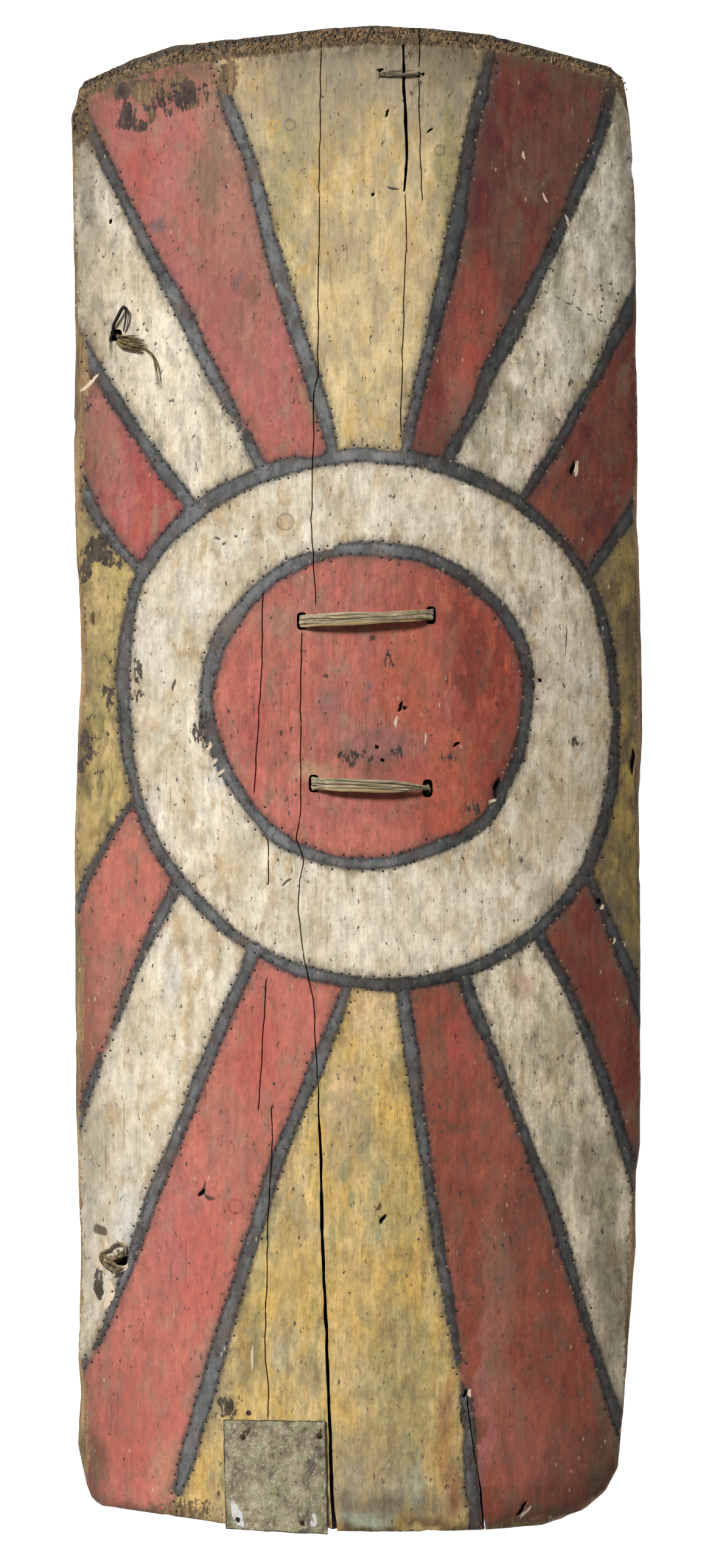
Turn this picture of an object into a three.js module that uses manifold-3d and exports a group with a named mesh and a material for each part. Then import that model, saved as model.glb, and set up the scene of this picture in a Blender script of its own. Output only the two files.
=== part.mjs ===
// A tall painted war shield: one hewn plank, bowed across its width, with two split-cane
// loops for the hand and the arm, old crack repairs and two fibre ties. It lies face up on
// its two long edges. Millimetres, +X to the shield's left as it faces you, +Y to its top,
// +Z out of the painted face. The origin is under the middle, on the ground.
import * as THREE from "three";
import { mergeVertices } from "three/addons/utils/BufferGeometryUtils.js";
import Module from "manifold-3d";

const wasm = await Module();
wasm.setup();

// Plank
const HALF_WIDTH = 267;
const FACE_RADIUS = 646;
const THICKNESS = 15;
const FLAT_CUT = 2.5;
const SIDE_ROUNDING = 5;
const FOOT_ROUNDING = 3;
const TOP_BEVEL_LENGTH = 14;
const TOP_BEVEL_DROP = 8;
const COLUMNS = 22;
const ROWS = 30;

// The plank's outline. The sides are [y, x], the ends are [x, y].
const LEFT_SIDE = [
  [-678, -238], [-672, -247], [-658, -253], [-619, -261], [-571, -258], [-542, -260.5],
  [-441, -258], [-308, -262.5], [-62, -264], [51, -260.5], [104, -257.5], [209, -262.5],
  [323, -265], [401, -263], [577, -266], [620, -267], [642, -260.5],
];
const RIGHT_SIDE = [
  [-683, 210.5], [-664, 233], [-642, 244.5], [-576, 250.5], [-436, 261], [-368, 261],
  [-340, 265.5], [-147, 265.5], [-13, 264], [30, 267], [91, 267], [212, 264],
  [238, 262], [310, 263], [538, 260.5], [597, 257], [636, 253], [649, 250],
];
const TOP_END = [
  [-260.5, 642], [-255, 653], [-238, 659.5], [-208, 672], [-169, 683.5], [-72, 692],
  [-23, 698], [15, 700], [63, 698], [122, 693], [151, 686.5], [200, 674.5],
  [237, 666], [248.5, 657], [250, 649],
];
const FOOT_END = [
  [-238, -678], [-173, -685], [-123, -691], [-28, -693], [-19, -697], [79, -698],
  [122, -697], [173, -694.5], [210.5, -683],
];

// Open cracks, [x, y, width], each running out through the end it is nearest
const FOOT_CRACK = [
  [-36, -280, 0.8], [-34, -330, 2.4], [-31.5, -430, 3], [-27, -537, 3.2], [-23, -658, 3.6],
  [-19, -710, 4.6],
];
const TOP_CRACK = [
  [44.5, 545, 1.6], [46.5, 577, 2.8], [45.5, 616, 3.4], [43.5, 650, 3.2], [43, 681, 2.4],
];
const CORNER_CRACK = [[111, -636, 0.8], [115, -660, 1.6], [120, -712, 3]];

// Cane loops: the two ends of the stretch on the face, and how deep the grip hangs behind
const CANE_WIDTH = 12;
const CANE_THICKNESS = 4.6;
const CANE_STEPS = 44;
const UPPER_LOOP = { ends: [[-52, 147], [70, 152.5]], rise: 5.5, drop: 40 };
const LOWER_LOOP = { ends: [[-41, -3.5], [67, -8]], rise: 5, drop: 38 };
const LOOP_HOLE = { width: 9.5, height: 16.5 };

// Thin vine stitch across the crack at the top
const STITCH_WIDTH = 4;
const STITCH_THICKNESS = 1.5;
const STITCH_STEPS = 26;
const STITCH = { ends: [[22, 654], [57, 653.5]], rise: 0.6, drop: 2.2 };
const STITCH_HOLE = { width: 3.8, height: 5.4 };

// Sheet patch at the foot, left of the long crack: corners [x, y]
const PATCH_THICKNESS = 1.4;
const PATCH = {
  topLeft: [-124.5, -593],
  topRight: [-28.5, -593.5],
  footLeft: [-122, -695.5],
  footRight: [-26.2, -699.8],
};
const PATCH_COLUMNS = 8;
const PATCH_ROWS = 4;
const PATCH_GAP = 0.8;
const PATCH_LIFT = PATCH_GAP + PATCH_THICKNESS;
const GAP = 0.3;

// Nails [x, y, head radius]
const PATCH_NAILS = [[-106, -609, 2.6], [-35, -607.5, 2.6], [-110.5, -686, 2.2], [-51, -688, 2.2]];
const PLANK_NAIL = [-100.5, -587, 2.4];
const NAIL_SHANK_RADIUS = 1.1;
const NAIL_LENGTH = 10;

// Fibre ties, each through a hole in the plank
const UPPER_TIE = [-224, 414];
const LOWER_TIE = [-219, -447];
const TIE_HOLE_RADIUS = 5.5;

const mix = (a, b, t) => a + (b - a) * t;
const HALF_ANGLE = Math.asin(HALF_WIDTH / FACE_RADIUS);
const BACK_EDGE_Z = (FACE_RADIUS - THICKNESS) * Math.cos(HALF_ANGLE) + FLAT_CUT;

// Value at `at` on a list of [position, value] stations
function along(stations, at) {
  const last = stations.length - 1;
  if (at <= stations[0][0]) return stations[0][1];
  if (at >= stations[last][0]) return stations[last][1];
  const i = stations.findIndex((station) => station[0] >= at);
  const [from, to] = [stations[i - 1], stations[i]];
  return mix(from[1], to[1], (at - from[0]) / (to[0] - from[0]));
}

// Plan position of the point a share s across the plank and t up it
function planPoint(s, t) {
  const leftY = mix(FOOT_END[0][1], TOP_END[0][1], t);
  const rightY = mix(FOOT_END.at(-1)[1], TOP_END.at(-1)[1], t);
  const footX = mix(FOOT_END[0][0], FOOT_END.at(-1)[0], s);
  const topX = mix(TOP_END[0][0], TOP_END.at(-1)[0], s);
  const x = mix(along(LEFT_SIDE, leftY), along(RIGHT_SIDE, rightY), s);
  const y = mix(along(FOOT_END, footX), along(TOP_END, topX), t);
  return [x, y];
}

// How far a rounded arris lies below the face, at a distance from its edge
function rounding(distance, radius) {
  const inside = Math.max(0, radius - distance);
  return radius - Math.sqrt(radius * radius - inside * inside);
}

// Height of the face and of the back at a share s across and t up
function heights(s, t) {
  const angle = Math.asin((2 * s - 1) * Math.sin(HALF_ANGLE));
  const [x, y] = planPoint(s, t);
  const side = Math.min(s, 1 - s) * 2 * HALF_WIDTH;
  const fromTop = planPoint(s, 1)[1] - y;
  const fromFoot = y - planPoint(s, 0)[1];
  const bevel = TOP_BEVEL_DROP * Math.max(0, 1 - fromTop / TOP_BEVEL_LENGTH);
  const worn = Math.max(rounding(side, SIDE_ROUNDING), rounding(fromFoot, FOOT_ROUNDING), bevel);
  const face = FACE_RADIUS * Math.cos(angle) - BACK_EDGE_Z - worn;
  const back = (FACE_RADIUS - THICKNESS) * Math.cos(angle) - BACK_EDGE_Z;
  return { x, y, face, back, angle };
}

// Shares across and up that belong to a plan position
function sharesAt(x, y) {
  let [s, t] = [0.5, 0.5];
  for (let pass = 0; pass < 6; pass += 1) {
    const [leftX, rightX] = [planPoint(0, t)[0], planPoint(1, t)[0]];
    s = (x - leftX) / (rightX - leftX);
    const [footY, topY] = [planPoint(s, 0)[1], planPoint(s, 1)[1]];
    t = (y - footY) / (topY - footY);
  }
  return [s, t];
}

const surfaceAt = (x, y) => heights(...sharesAt(x, y));

// A geometry from a list of points and a list of triangles
function indexed(points, faces) {
  const geometry = new THREE.BufferGeometry();
  geometry.setAttribute("position", new THREE.Float32BufferAttribute(points.flat(), 3));
  geometry.setIndex(faces.flat());
  return geometry;
}

// A closed slab between two grids of points that share their plan
function slab(top, under) {
  const [rows, columns] = [top.length, top[0].length];
  const at = (i, j) => i * columns + j;
  const points = [...top.flat(), ...under.flat()];
  const below = rows * columns;
  const faces = [];
  for (let i = 0; i < rows - 1; i += 1) {
    for (let j = 0; j < columns - 1; j += 1) {
      const [a, b, c, d] = [at(i, j), at(i, j + 1), at(i + 1, j + 1), at(i + 1, j)];
      faces.push([a, b, c], [a, c, d]);
      faces.push([below + c, below + b, below + a], [below + d, below + c, below + a]);
    }
  }
  const wall = (a, b) => faces.push([b, a, below + a], [b, below + a, below + b]);
  for (let j = 0; j < columns - 1; j += 1) {
    wall(at(0, j), at(0, j + 1));
    wall(at(rows - 1, j + 1), at(rows - 1, j));
  }
  for (let i = 0; i < rows - 1; i += 1) {
    wall(at(i + 1, 0), at(i, 0));
    wall(at(i, columns - 1), at(i + 1, columns - 1));
  }
  return indexed(points, faces);
}

function solid(geometry) {
  const bare = geometry.clone();
  bare.deleteAttribute("normal");
  bare.deleteAttribute("uv");
  const merged = mergeVertices(bare, 1e-4);
  const vertProperties = new Float32Array(merged.attributes.position.array);
  const triVerts = new Uint32Array(merged.index.array);
  return new wasm.Manifold(new wasm.Mesh({ numProp: 3, vertProperties, triVerts }));
}

function geometryOf(manifold) {
  const mesh = manifold.getMesh();
  const geometry = new THREE.BufferGeometry();
  geometry.setAttribute("position", new THREE.BufferAttribute(mesh.vertProperties, 3));
  geometry.setIndex(new THREE.BufferAttribute(mesh.triVerts, 1));
  geometry.computeVertexNormals();
  return geometry;
}

const CUT_DEPTH = 200;

// An upright cutter with the outline of a crack
function crackCutter(stations) {
  const side = (sign) => stations.map(([x, y, width]) => new THREE.Vector2(x + (sign * width) / 2, y));
  const outline = new THREE.Shape([...side(-1), ...side(1).reverse()]);
  const geometry = new THREE.ExtrudeGeometry(outline, { depth: CUT_DEPTH, bevelEnabled: false });
  return solid(geometry.translate(0, 0, -CUT_DEPTH / 2));
}

function slotCutter([x, y], { width, height }) {
  return solid(new THREE.BoxGeometry(width, height, CUT_DEPTH).translate(x, y, 0));
}

function drillCutter([x, y], radius) {
  const drill = new THREE.CylinderGeometry(radius, radius, CUT_DEPTH, 10).rotateX(Math.PI / 2);
  return solid(drill.translate(x, y, 0));
}

// Places a piece modelled upright at the origin on the face, square to it
function standOnFace(geometry, [x, y], lift) {
  const { face, angle } = surfaceAt(x, y);
  return geometry.rotateY(angle).translate(x + lift * Math.sin(angle), y, face + lift * Math.cos(angle));
}

// Evenly spread shares with extra lines close to both ends
function lines(count, nearEnds) {
  const inner = Array.from({ length: count - 1 }, (_, i) => (i + 1) / count);
  const clear = inner.filter((u) => u > Math.max(...nearEnds[0]) && 1 - u > Math.max(...nearEnds[1]));
  return [0, ...nearEnds[0], ...clear, ...nearEnds[1].map((u) => 1 - u).reverse(), 1];
}

function plankSolid() {
  const sideLines = [0.003, 0.01, 0.035];
  const length = planPoint(0.5, 1)[1] - planPoint(0.5, 0)[1];
  const footLines = [1.2, 4, 12, 26].map((mm) => mm / length);
  const topLines = [5, TOP_BEVEL_LENGTH, 30].map((mm) => mm / length);
  const across = lines(COLUMNS, [sideLines, sideLines]);
  const upward = lines(ROWS, [footLines, topLines]);
  const grid = (height) => upward.map((t) => across.map((s) => height(s, t)));
  const face = grid((s, t) => {
    const at = heights(s, t);
    return [at.x, at.y, at.face];
  });
  const back = grid((s, t) => {
    const at = heights(s, t);
    const inward = (at.face - at.back) * Math.sin(at.angle) * 0.8;
    return [at.x - inward, at.y, at.back];
  });
  const ground = solid(new THREE.BoxGeometry(900, 2000, 100).translate(0, 0, -50));
  return solid(slab(face, back)).subtract(ground);
}

// A flat closed band, through two holes and round behind: its centreline lies in an upright plane
function loopPiece({ ends, rise, drop }, width, thickness, steps) {
  const [[x0, y0], [x1, y1]] = ends;
  const [from, to] = [surfaceAt(x0, y0), surfaceAt(x1, y1)];
  const crown = surfaceAt((x0 + x1) / 2, (y0 + y1) / 2);
  const half = thickness / 2;
  const [reach, turn] = [x1 - x0, thickness * 0.55];
  const top = crown.face + half + rise;
  const low = crown.back - half - drop;
  const shoulder = (end) => end.face + half + GAP;
  const waist = (end) => end.back - 1;
  const route = [
    [x0 + turn, shoulder(from)],
    [x0 + reach * 0.2, mix(shoulder(from), top, 0.75)],
    [x0 + reach * 0.5, top],
    [x0 + reach * 0.8, mix(shoulder(to), top, 0.75)],
    [x1 - turn, shoulder(to)],
    [x1, to.face - 1.5],
    [x1, waist(to)],
    [x1 - reach * 0.06, mix(waist(to), low, 0.45)],
    [x1 - reach * 0.2, mix(waist(to), low, 0.85)],
    [x0 + reach * 0.5, low],
    [x0 + reach * 0.2, mix(waist(from), low, 0.85)],
    [x0 + reach * 0.06, mix(waist(from), low, 0.45)],
    [x0, waist(from)],
    [x0, from.face - 1.5],
  ].map(([x, z]) => new THREE.Vector3(x, 0, z));
  const curve = new THREE.CatmullRomCurve3(route, true, "centripetal");
  const sides = 8;
  const points = [];
  const faces = [];
  for (let i = 0; i < steps; i += 1) {
    const centre = curve.getPointAt(i / steps);
    const tangent = curve.getTangentAt(i / steps);
    const out = new THREE.Vector3(tangent.z, 0, -tangent.x);
    const lean = mix(y0, y1, (centre.x - x0) / reach);
    for (let k = 0; k < sides; k += 1) {
      const turned = ((k + 0.5) / sides) * Math.PI * 2;
      const soft = (value) => Math.sign(value) * Math.abs(value) ** 0.6;
      const offset = out.clone().multiplyScalar(half * soft(Math.cos(turned)));
      points.push([centre.x + offset.x, lean + (width / 2) * soft(Math.sin(turned)), centre.z + offset.z]);
      const [a, b] = [i * sides + k, i * sides + ((k + 1) % sides)];
      const [c, d] = [((i + 1) % steps) * sides + k, ((i + 1) % steps) * sides + ((k + 1) % sides)];
      faces.push([a, b, c], [b, d, c]);
    }
  }
  return indexed(points, faces);
}

// The sheet follows the face and stands a little proud of it
function patchSheet() {
  const { topLeft, topRight, footLeft, footRight } = PATCH;
  const sheet = (lift) =>
    Array.from({ length: PATCH_ROWS + 1 }, (_, i) => {
      const up = i / PATCH_ROWS;
      const left = [0, 1].map((k) => mix(footLeft[k], topLeft[k], up));
      const right = [0, 1].map((k) => mix(footRight[k], topRight[k], up));
      return Array.from({ length: PATCH_COLUMNS + 1 }, (__, j) => {
        const [x, y] = [0, 1].map((k) => mix(left[k], right[k], j / PATCH_COLUMNS));
        return [x, y, FACE_RADIUS * Math.cos(surfaceAt(x, y).angle) - BACK_EDGE_Z + lift];
      });
    });
  return slab(sheet(PATCH_LIFT), sheet(PATCH_GAP));
}

function nailShape(headRadius) {
  const profile = [
    [0, -NAIL_LENGTH], [NAIL_SHANK_RADIUS, -NAIL_LENGTH + 2], [NAIL_SHANK_RADIUS, 0], [headRadius, 0],
    [headRadius * 0.8, 0.9], [0, 1.3],
  ].map(([r, z]) => new THREE.Vector2(r, z));
  return new THREE.LatheGeometry(profile, 10).rotateX(Math.PI / 2);
}

function nailCutter(place, lift) {
  const radius = NAIL_SHANK_RADIUS + GAP;
  const length = NAIL_LENGTH + 4;
  const drill = new THREE.CylinderGeometry(radius, radius, length, 10).rotateX(Math.PI / 2);
  return solid(standOnFace(drill.translate(0, 0, -length / 2 + 3.5), place, lift));
}

// A round strand along a list of points
function strand(route, radius) {
  const shape = new THREE.Shape();
  shape.absellipse(0, 0, radius, radius, 0, Math.PI * 2, false, 0);
  const extrudePath = new THREE.CatmullRomCurve3(route.map((p) => new THREE.Vector3(...p)));
  const steps = route.length * 3;
  const options = { steps, curveSegments: 4, extrudePath, bevelEnabled: false };
  return solid(new THREE.ExtrudeGeometry(shape, options));
}

// The upper tie: a strand up through its hole, a small standing loop and a flat end on the face
function upperTie() {
  const [x, y] = UPPER_TIE;
  const { face, back } = surfaceAt(x, y);
  const slope = (dx) => surfaceAt(x + dx, y).face;
  const stemRoute = [
    [x, y, back - 7],
    [x, y, face - 4],
    [x + 3, y, slope(3) + 4.5],
    [x + 14, y - 3, slope(14) + 4.6],
    [x + 27, y - 8, slope(27) + 4.2],
  ];
  const bowRoute = [
    [x, y, back + 2],
    [x, y + 1, face + 2],
    [x + 1, y + 12, slope(1) + 7],
    [x + 8, y + 24, slope(8) + 9],
    [x + 10, y + 13, slope(10) + 7.5],
    [x + 4, y + 1, slope(4) + 5],
  ];
  return strand(stemRoute, 3).add(strand(bowRoute, 1.3));
}

// The lower tie: a tight knot that stands in its hole, with two short ends
function lowerTie() {
  const [x, y] = LOWER_TIE;
  const { face, back } = surfaceAt(x, y);
  const slope = (dx) => surfaceAt(x + dx, y).face;
  const stemRoute = [[x, y, back - 6], [x, y, face - 2], [x, y, face + 4]];
  const lapRoute = [
    [x + 4, y - 2, slope(4) + 4],
    [x - 4, y - 4, slope(-4) + 4.6],
    [x - 12, y - 1, slope(-12) + 4.2],
    [x - 10, y + 6, slope(-10) + 4.4],
    [x + 1, y + 5, slope(1) + 4.6],
  ];
  const endRoute = [
    [x - 1, y, face + 4],
    [x + 2, y - 7, slope(2) + 4.2],
    [x - 1, y - 14, slope(-1) + 3.2],
  ];
  return strand(stemRoute, 3).add(strand(lapRoute, 2.6)).add(strand(endRoute, 2));
}

const wood = new THREE.MeshStandardMaterial({ color: 0xb09a78, roughness: 0.85, metalness: 0 });
const cane = new THREE.MeshStandardMaterial({ color: 0xa69878, roughness: 0.6, metalness: 0 });
const fibre = new THREE.MeshStandardMaterial({ color: 0x6e5c40, roughness: 0.9, metalness: 0 });
const sheetMetal = new THREE.MeshStandardMaterial({ color: 0x8f8a74, roughness: 0.6, metalness: 0.3 });
const iron = new THREE.MeshStandardMaterial({ color: 0x3a322b, roughness: 0.7, metalness: 0.6 });

const shield = new THREE.Group();

function addPiece(name, geometry, material) {
  const mesh = new THREE.Mesh(geometry, material);
  mesh.name = name;
  shield.add(mesh);
}

function plank() {
  const loopHoles = [UPPER_LOOP, LOWER_LOOP].flatMap(({ ends }) => [
    slotCutter([ends[0][0] + 1.2, ends[0][1]], LOOP_HOLE),
    slotCutter([ends[1][0] - 1.2, ends[1][1]], LOOP_HOLE),
  ]);
  const cutters = [
    ...[FOOT_CRACK, TOP_CRACK, CORNER_CRACK].map(crackCutter),
    ...loopHoles,
    ...STITCH.ends.map((end) => slotCutter(end, STITCH_HOLE)),
    ...[UPPER_TIE, LOWER_TIE].map((place) => drillCutter(place, TIE_HOLE_RADIUS)),
    ...PATCH_NAILS.map((nail) => nailCutter(nail, PATCH_LIFT)),
    nailCutter(PLANK_NAIL, GAP),
  ];
  return cutters.reduce((body, cutter) => body.subtract(cutter), plankSolid());
}

addPiece("shield_board", geometryOf(plank()), wood);
addPiece("cane_loop_upper", loopPiece(UPPER_LOOP, CANE_WIDTH, CANE_THICKNESS, CANE_STEPS), cane);
addPiece("cane_loop_lower", loopPiece(LOWER_LOOP, CANE_WIDTH, CANE_THICKNESS, CANE_STEPS), cane);
addPiece("crack_stitch", loopPiece(STITCH, STITCH_WIDTH, STITCH_THICKNESS, STITCH_STEPS), cane);

const patch = PATCH_NAILS.reduce(
  (body, nail) => body.subtract(nailCutter(nail, PATCH_LIFT)),
  solid(patchSheet()),
);
addPiece("repair_patch", geometryOf(patch), sheetMetal);

PATCH_NAILS.forEach((nail, i) => {
  addPiece(`patch_nail_${i + 1}`, standOnFace(nailShape(nail[2]), nail, PATCH_LIFT + GAP), iron);
});
addPiece("board_nail", standOnFace(nailShape(PLANK_NAIL[2]), PLANK_NAIL, GAP), iron);

addPiece("fibre_tie_upper", geometryOf(upperTie()), fibre);
addPiece("fibre_tie_lower", geometryOf(lowerTie()), fibre);

export default shield;
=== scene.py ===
"""The looks of a tall painted war shield: a hewn plank with a painted sunburst, cane loops, a
nailed patch, a vine stitch and two fibre ties. It lies face up and the camera looks down on it.
Lengths are in millimetres, and turn into metres where a mesh or the camera is made."""

import math
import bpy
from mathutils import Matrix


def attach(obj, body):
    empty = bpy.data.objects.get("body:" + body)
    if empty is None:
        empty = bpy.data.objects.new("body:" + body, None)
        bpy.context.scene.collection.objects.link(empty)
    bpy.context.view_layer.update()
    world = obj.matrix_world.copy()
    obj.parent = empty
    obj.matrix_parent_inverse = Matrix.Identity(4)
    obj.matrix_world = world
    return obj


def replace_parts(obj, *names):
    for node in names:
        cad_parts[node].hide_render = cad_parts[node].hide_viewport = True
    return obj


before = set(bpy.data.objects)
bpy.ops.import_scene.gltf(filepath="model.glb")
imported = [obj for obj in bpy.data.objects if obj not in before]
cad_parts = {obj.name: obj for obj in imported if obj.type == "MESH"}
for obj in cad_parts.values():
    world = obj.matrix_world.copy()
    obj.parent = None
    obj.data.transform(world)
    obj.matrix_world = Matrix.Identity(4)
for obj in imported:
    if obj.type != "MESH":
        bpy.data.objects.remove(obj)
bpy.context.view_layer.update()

from types import SimpleNamespace

import bpy
import numpy as np
from mathutils import Vector
from mathutils.geometry import delaunay_2d_cdt

MM = 0.001

# The plank, as in the part
HALF_WIDTH = 267.0
FACE_RADIUS = 646.0
THICKNESS = 15.0
FLAT_CUT = 2.5
SIDE_ROUNDING = 5.0
FOOT_ROUNDING = 3.0
PLANK_WIDTH = 2 * HALF_WIDTH
PLANK_LENGTH = 1390.0
TOP_BEVEL_LENGTH = 14.0
TOP_BEVEL_DROP = 8.0
HALF_ANGLE = math.asin(HALF_WIDTH / FACE_RADIUS)
BACK_EDGE_Z = (FACE_RADIUS - THICKNESS) * math.cos(HALF_ANGLE) + FLAT_CUT

# Its outline: the sides are (y, x), the ends are (x, y)
LEFT_SIDE = [
    (-678, -238), (-672, -247), (-658, -253), (-619, -261), (-571, -258), (-542, -260.5), (-441, -258),
    (-308, -262.5), (-62, -264), (51, -260.5), (104, -257.5), (209, -262.5), (323, -265), (401, -263),
    (577, -266), (620, -267), (642, -260.5),
]
RIGHT_SIDE = [
    (-683, 210.5), (-664, 233), (-642, 244.5), (-576, 250.5), (-436, 261), (-368, 261), (-340, 265.5),
    (-147, 265.5), (-13, 264), (30, 267), (91, 267), (212, 264), (238, 262), (310, 263), (538, 260.5),
    (597, 257), (636, 253), (649, 250),
]
TOP_END = [
    (-260.5, 642), (-255, 653), (-238, 659.5), (-208, 672), (-169, 683.5), (-72, 692), (-23, 698),
    (15, 700), (63, 698), (122, 693), (151, 686.5), (200, 674.5), (237, 666), (248.5, 657), (250, 649),
]
FOOT_END = [
    (-238, -678), (-173, -685), (-123, -691), (-28, -693), (-19, -697), (79, -698), (122, -697),
    (173, -694.5), (210.5, -683),
]

# Open cracks (x, y, width) and closed ones (x, y)
OPEN_CRACKS = [
    [(-36, -280, 0.8), (-34, -330, 2.4), (-31.5, -430, 3), (-27, -537, 3.2), (-23, -658, 3.6),
     (-19, -710, 4.6)],
    [(44.5, 545, 1.6), (46.5, 577, 2.8), (45.5, 616, 3.4), (43.5, 650, 3.2), (43, 681, 2.4)],
    [(111, -636, 0.8), (115, -660, 1.6), (120, -712, 3)],
]
CLOSED_CRACKS = [
    [(-33, 684), (-35, 499), (-36, 374), (-39.5, 362), (-40, 304), (-42, 238), (-38, 165)],
    [(-51, 134), (-52, 60), (-52, -33), (-56, -54), (-49, -75), (-53, -93), (-54, -121), (-48, -170),
     (-40, -205), (-36.3, -276)],
    [(-87, 171), (-88, 97), (-92, 43), (-95, -11)],
    [(-82, -56), (-82, -95)],
    [(-84, -186), (-89, -278), (-91, -304)],
    [(-79, -304), (-78, -336), (-82, -401), (-84, -498), (-85, -537), (-82, -563), (-82, -590)],
    [(45, 541), (46, 499), (44, 440), (42, 381), (41, 323)],
    [(58.5, 697), (58, 662)],
    [(58, 646), (58, 616), (61, 538)],
    [(102, -572), (110.6, -632)],
]

# Cane loops and the stitch: the ends on the face, the rise over it and the drop behind it
CANE_WIDTH = 12.0
CANE_THICKNESS = 4.6
LOOP_STEPS = 150
UPPER_LOOP = dict(ends=((-52, 147), (70, 152.5)), rise=5.5, drop=40)
LOWER_LOOP = dict(ends=((-41, -3.5), (67, -8)), rise=5, drop=38)
LOOP_HOLE = np.array([9.5, 16.5])
STITCH = dict(ends=((22, 654), (57, 653.5)), rise=0.6, drop=2.2)
STITCH_HOLE = np.array([3.8, 5.4])
STITCH_WIDTH = 4.0
STITCH_THICKNESS = 1.5
UPPER_TIE = (-224, 414)
LOWER_TIE = (-219, -447)
TIE_HOLE_RADIUS = 5.5
GAP = 0.3
PATCH_GAP = 0.8
PATCH_THICKNESS = 1.4
PATCH = dict(top=((-124.5, -593), (-28.5, -593.5)), foot=((-122, -695.5), (-26.2, -699.8)))
PATCH_NAILS = [(-106, -609, 2.6), (-35, -607.5, 2.6), (-110.5, -686, 2.2), (-51, -688, 2.2)]
# Where its lower edge bends, its torn slots (x, y), and the painted highlights of bare zinc on it (x, y,
# half sizes)
PATCH_BEND_Y = -688
PATCH_SLOTS = [(-105.5, -608.5), (-100.5, -604), (-34.5, -606.5)]
LEANING_GLINT = (-111, -681, 5.5, 15)
FAINT_GLINT = (-40, -686, 4.5, 10)
PLANK_NAIL = (-100.5, -587, 2.4)

# The painted pattern. The ring and the disc: centre, then (bearing, radius, width of the line)
RING_CENTRE = np.array([11.3, 59.4])
RING_LINE = [
    (0, 230, 10), (8, 230, 10), (20, 234, 12), (28, 239, 11), (45, 242, 11), (60, 242, 15),
    (75, 240.5, 16), (86, 242.5, 17), (100, 241, 15), (112, 244, 17), (124, 248, 18), (134, 249.5, 17),
    (143, 250.5, 15), (152, 247.5, 12), (160, 239.5, 13), (169, 233.5, 15), (177, 228, 14), (184, 226, 13),
    (193, 227.5, 11), (205, 229.5, 12), (217, 232.5, 13), (230, 235, 12), (243, 241, 10), (254, 244.5, 13),
    (266, 247, 14), (280, 251.5, 14), (290, 253.5, 14), (302, 254, 12), (316, 251, 12), (325, 248, 14),
    (333, 242, 13.5), (342, 236.5, 13), (350, 232, 10.5), (360, 230, 10),
]
DISC_CENTRE = np.array([9.0, 66.0])
DISC_LINE = [
    (0, 149, 12), (12, 154.5, 14), (24, 156, 15), (36, 155, 14), (48, 153.5, 15), (60, 152, 13),
    (75, 150, 16), (86, 147, 16), (100, 149, 13), (115, 149.5, 15), (131, 149, 14), (143, 147.5, 16),
    (156, 150.5, 18), (167, 149, 16), (178, 150, 13), (190, 145.5, 15), (205, 142, 14), (216, 141.5, 11),
    (230, 144.5, 14), (250, 145, 13), (264, 144.5, 13), (281, 144, 14), (298, 144.5, 15), (309, 150, 14),
    (318, 153.5, 15), (329, 147, 11), (339, 148, 15), (350, 146.5, 12), (360, 149, 12),
]
# Rays run outwards from the ring: (x, y, width of the line)
RAYS = [
    [(228, 196, 10), (254, 246, 13), (300, 332, 12)],
    [(158, 268, 10), (190, 313, 12), (199, 335, 10), (224, 377, 10), (245, 420, 15), (268, 470, 12),
     (290, 520, 12)],
    [(84, 302, 12), (114, 352, 13), (121, 376, 16), (144, 417, 18), (156, 439, 16), (165, 460, 12),
     (197, 525, 12), (204, 547, 14), (224, 592, 13), (237, 638, 11), (248, 690, 12)],
    [(45, 309, 11), (58, 364, 12), (69, 411, 12), (81, 457, 17), (91, 504, 17), (106, 599, 12),
     (119, 645, 15), (131, 705, 14)],
    [(-22, 312, 13), (-32, 344, 15), (-55, 413, 17), (-82, 505, 16), (-99, 575, 13), (-117, 620, 15),
     (-125, 640, 12), (-134, 668, 6), (-143, 700, 5)],
    [(-92, 298, 12), (-118, 347, 12), (-141, 390, 14), (-160, 434, 16), (-196, 497, 12), (-248, 605, 12),
     (-290, 680, 10)],
    [(-159, 261, 12), (-179, 287, 15), (-206, 326, 12), (-234, 366, 14), (-300, 482, 12)],
    [(-206, 198, 10), (-228, 222, 12), (-252, 263, 13), (-259, 287, 11), (-285, 330, 10)],
    [(-212, -17, 8), (-226, -45, 7), (-250, -88, 10), (-280, -165, 8)],
    [(-175, -104, 12), (-187, -135, 12), (-206, -179, 8), (-242, -269, 8), (-258, -313, 10),
     (-290, -420, 10)],
    [(-95, -158, 14), (-117, -210, 14), (-137, -255, 14), (-153, -299, 13), (-190, -388, 14),
     (-213, -456, 11), (-240, -523, 7), (-253, -543, 8), (-290, -615, 8)],
    [(-8, -193, 12), (-20, -224, 14), (-38, -269, 16), (-58, -313, 12), (-75, -358, 15), (-104, -449, 14),
     (-131, -540, 17), (-158, -632, 17), (-165, -656, 9), (-176, -710, 5)],
    [(42, -192, 13), (50, -247, 15), (62, -342, 11), (77, -437, 12), (97, -555, 8), (106, -603, 12),
     (104, -627, 14), (113, -720, 13)],
    [(100, -186, 12), (110, -216, 14), (121, -238, 11), (164, -351, 10), (181, -394, 13), (202, -464, 12),
     (208, -487, 9), (230, -556, 10), (238, -578, 14), (275, -680, 12)],
    [(175, -151, 12), (200, -201, 10), (226, -268, 13), (290, -460, 12)],
    [(219, -85, 9), (237, -138, 11), (256, -182, 14), (285, -270, 12)],
]


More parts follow.
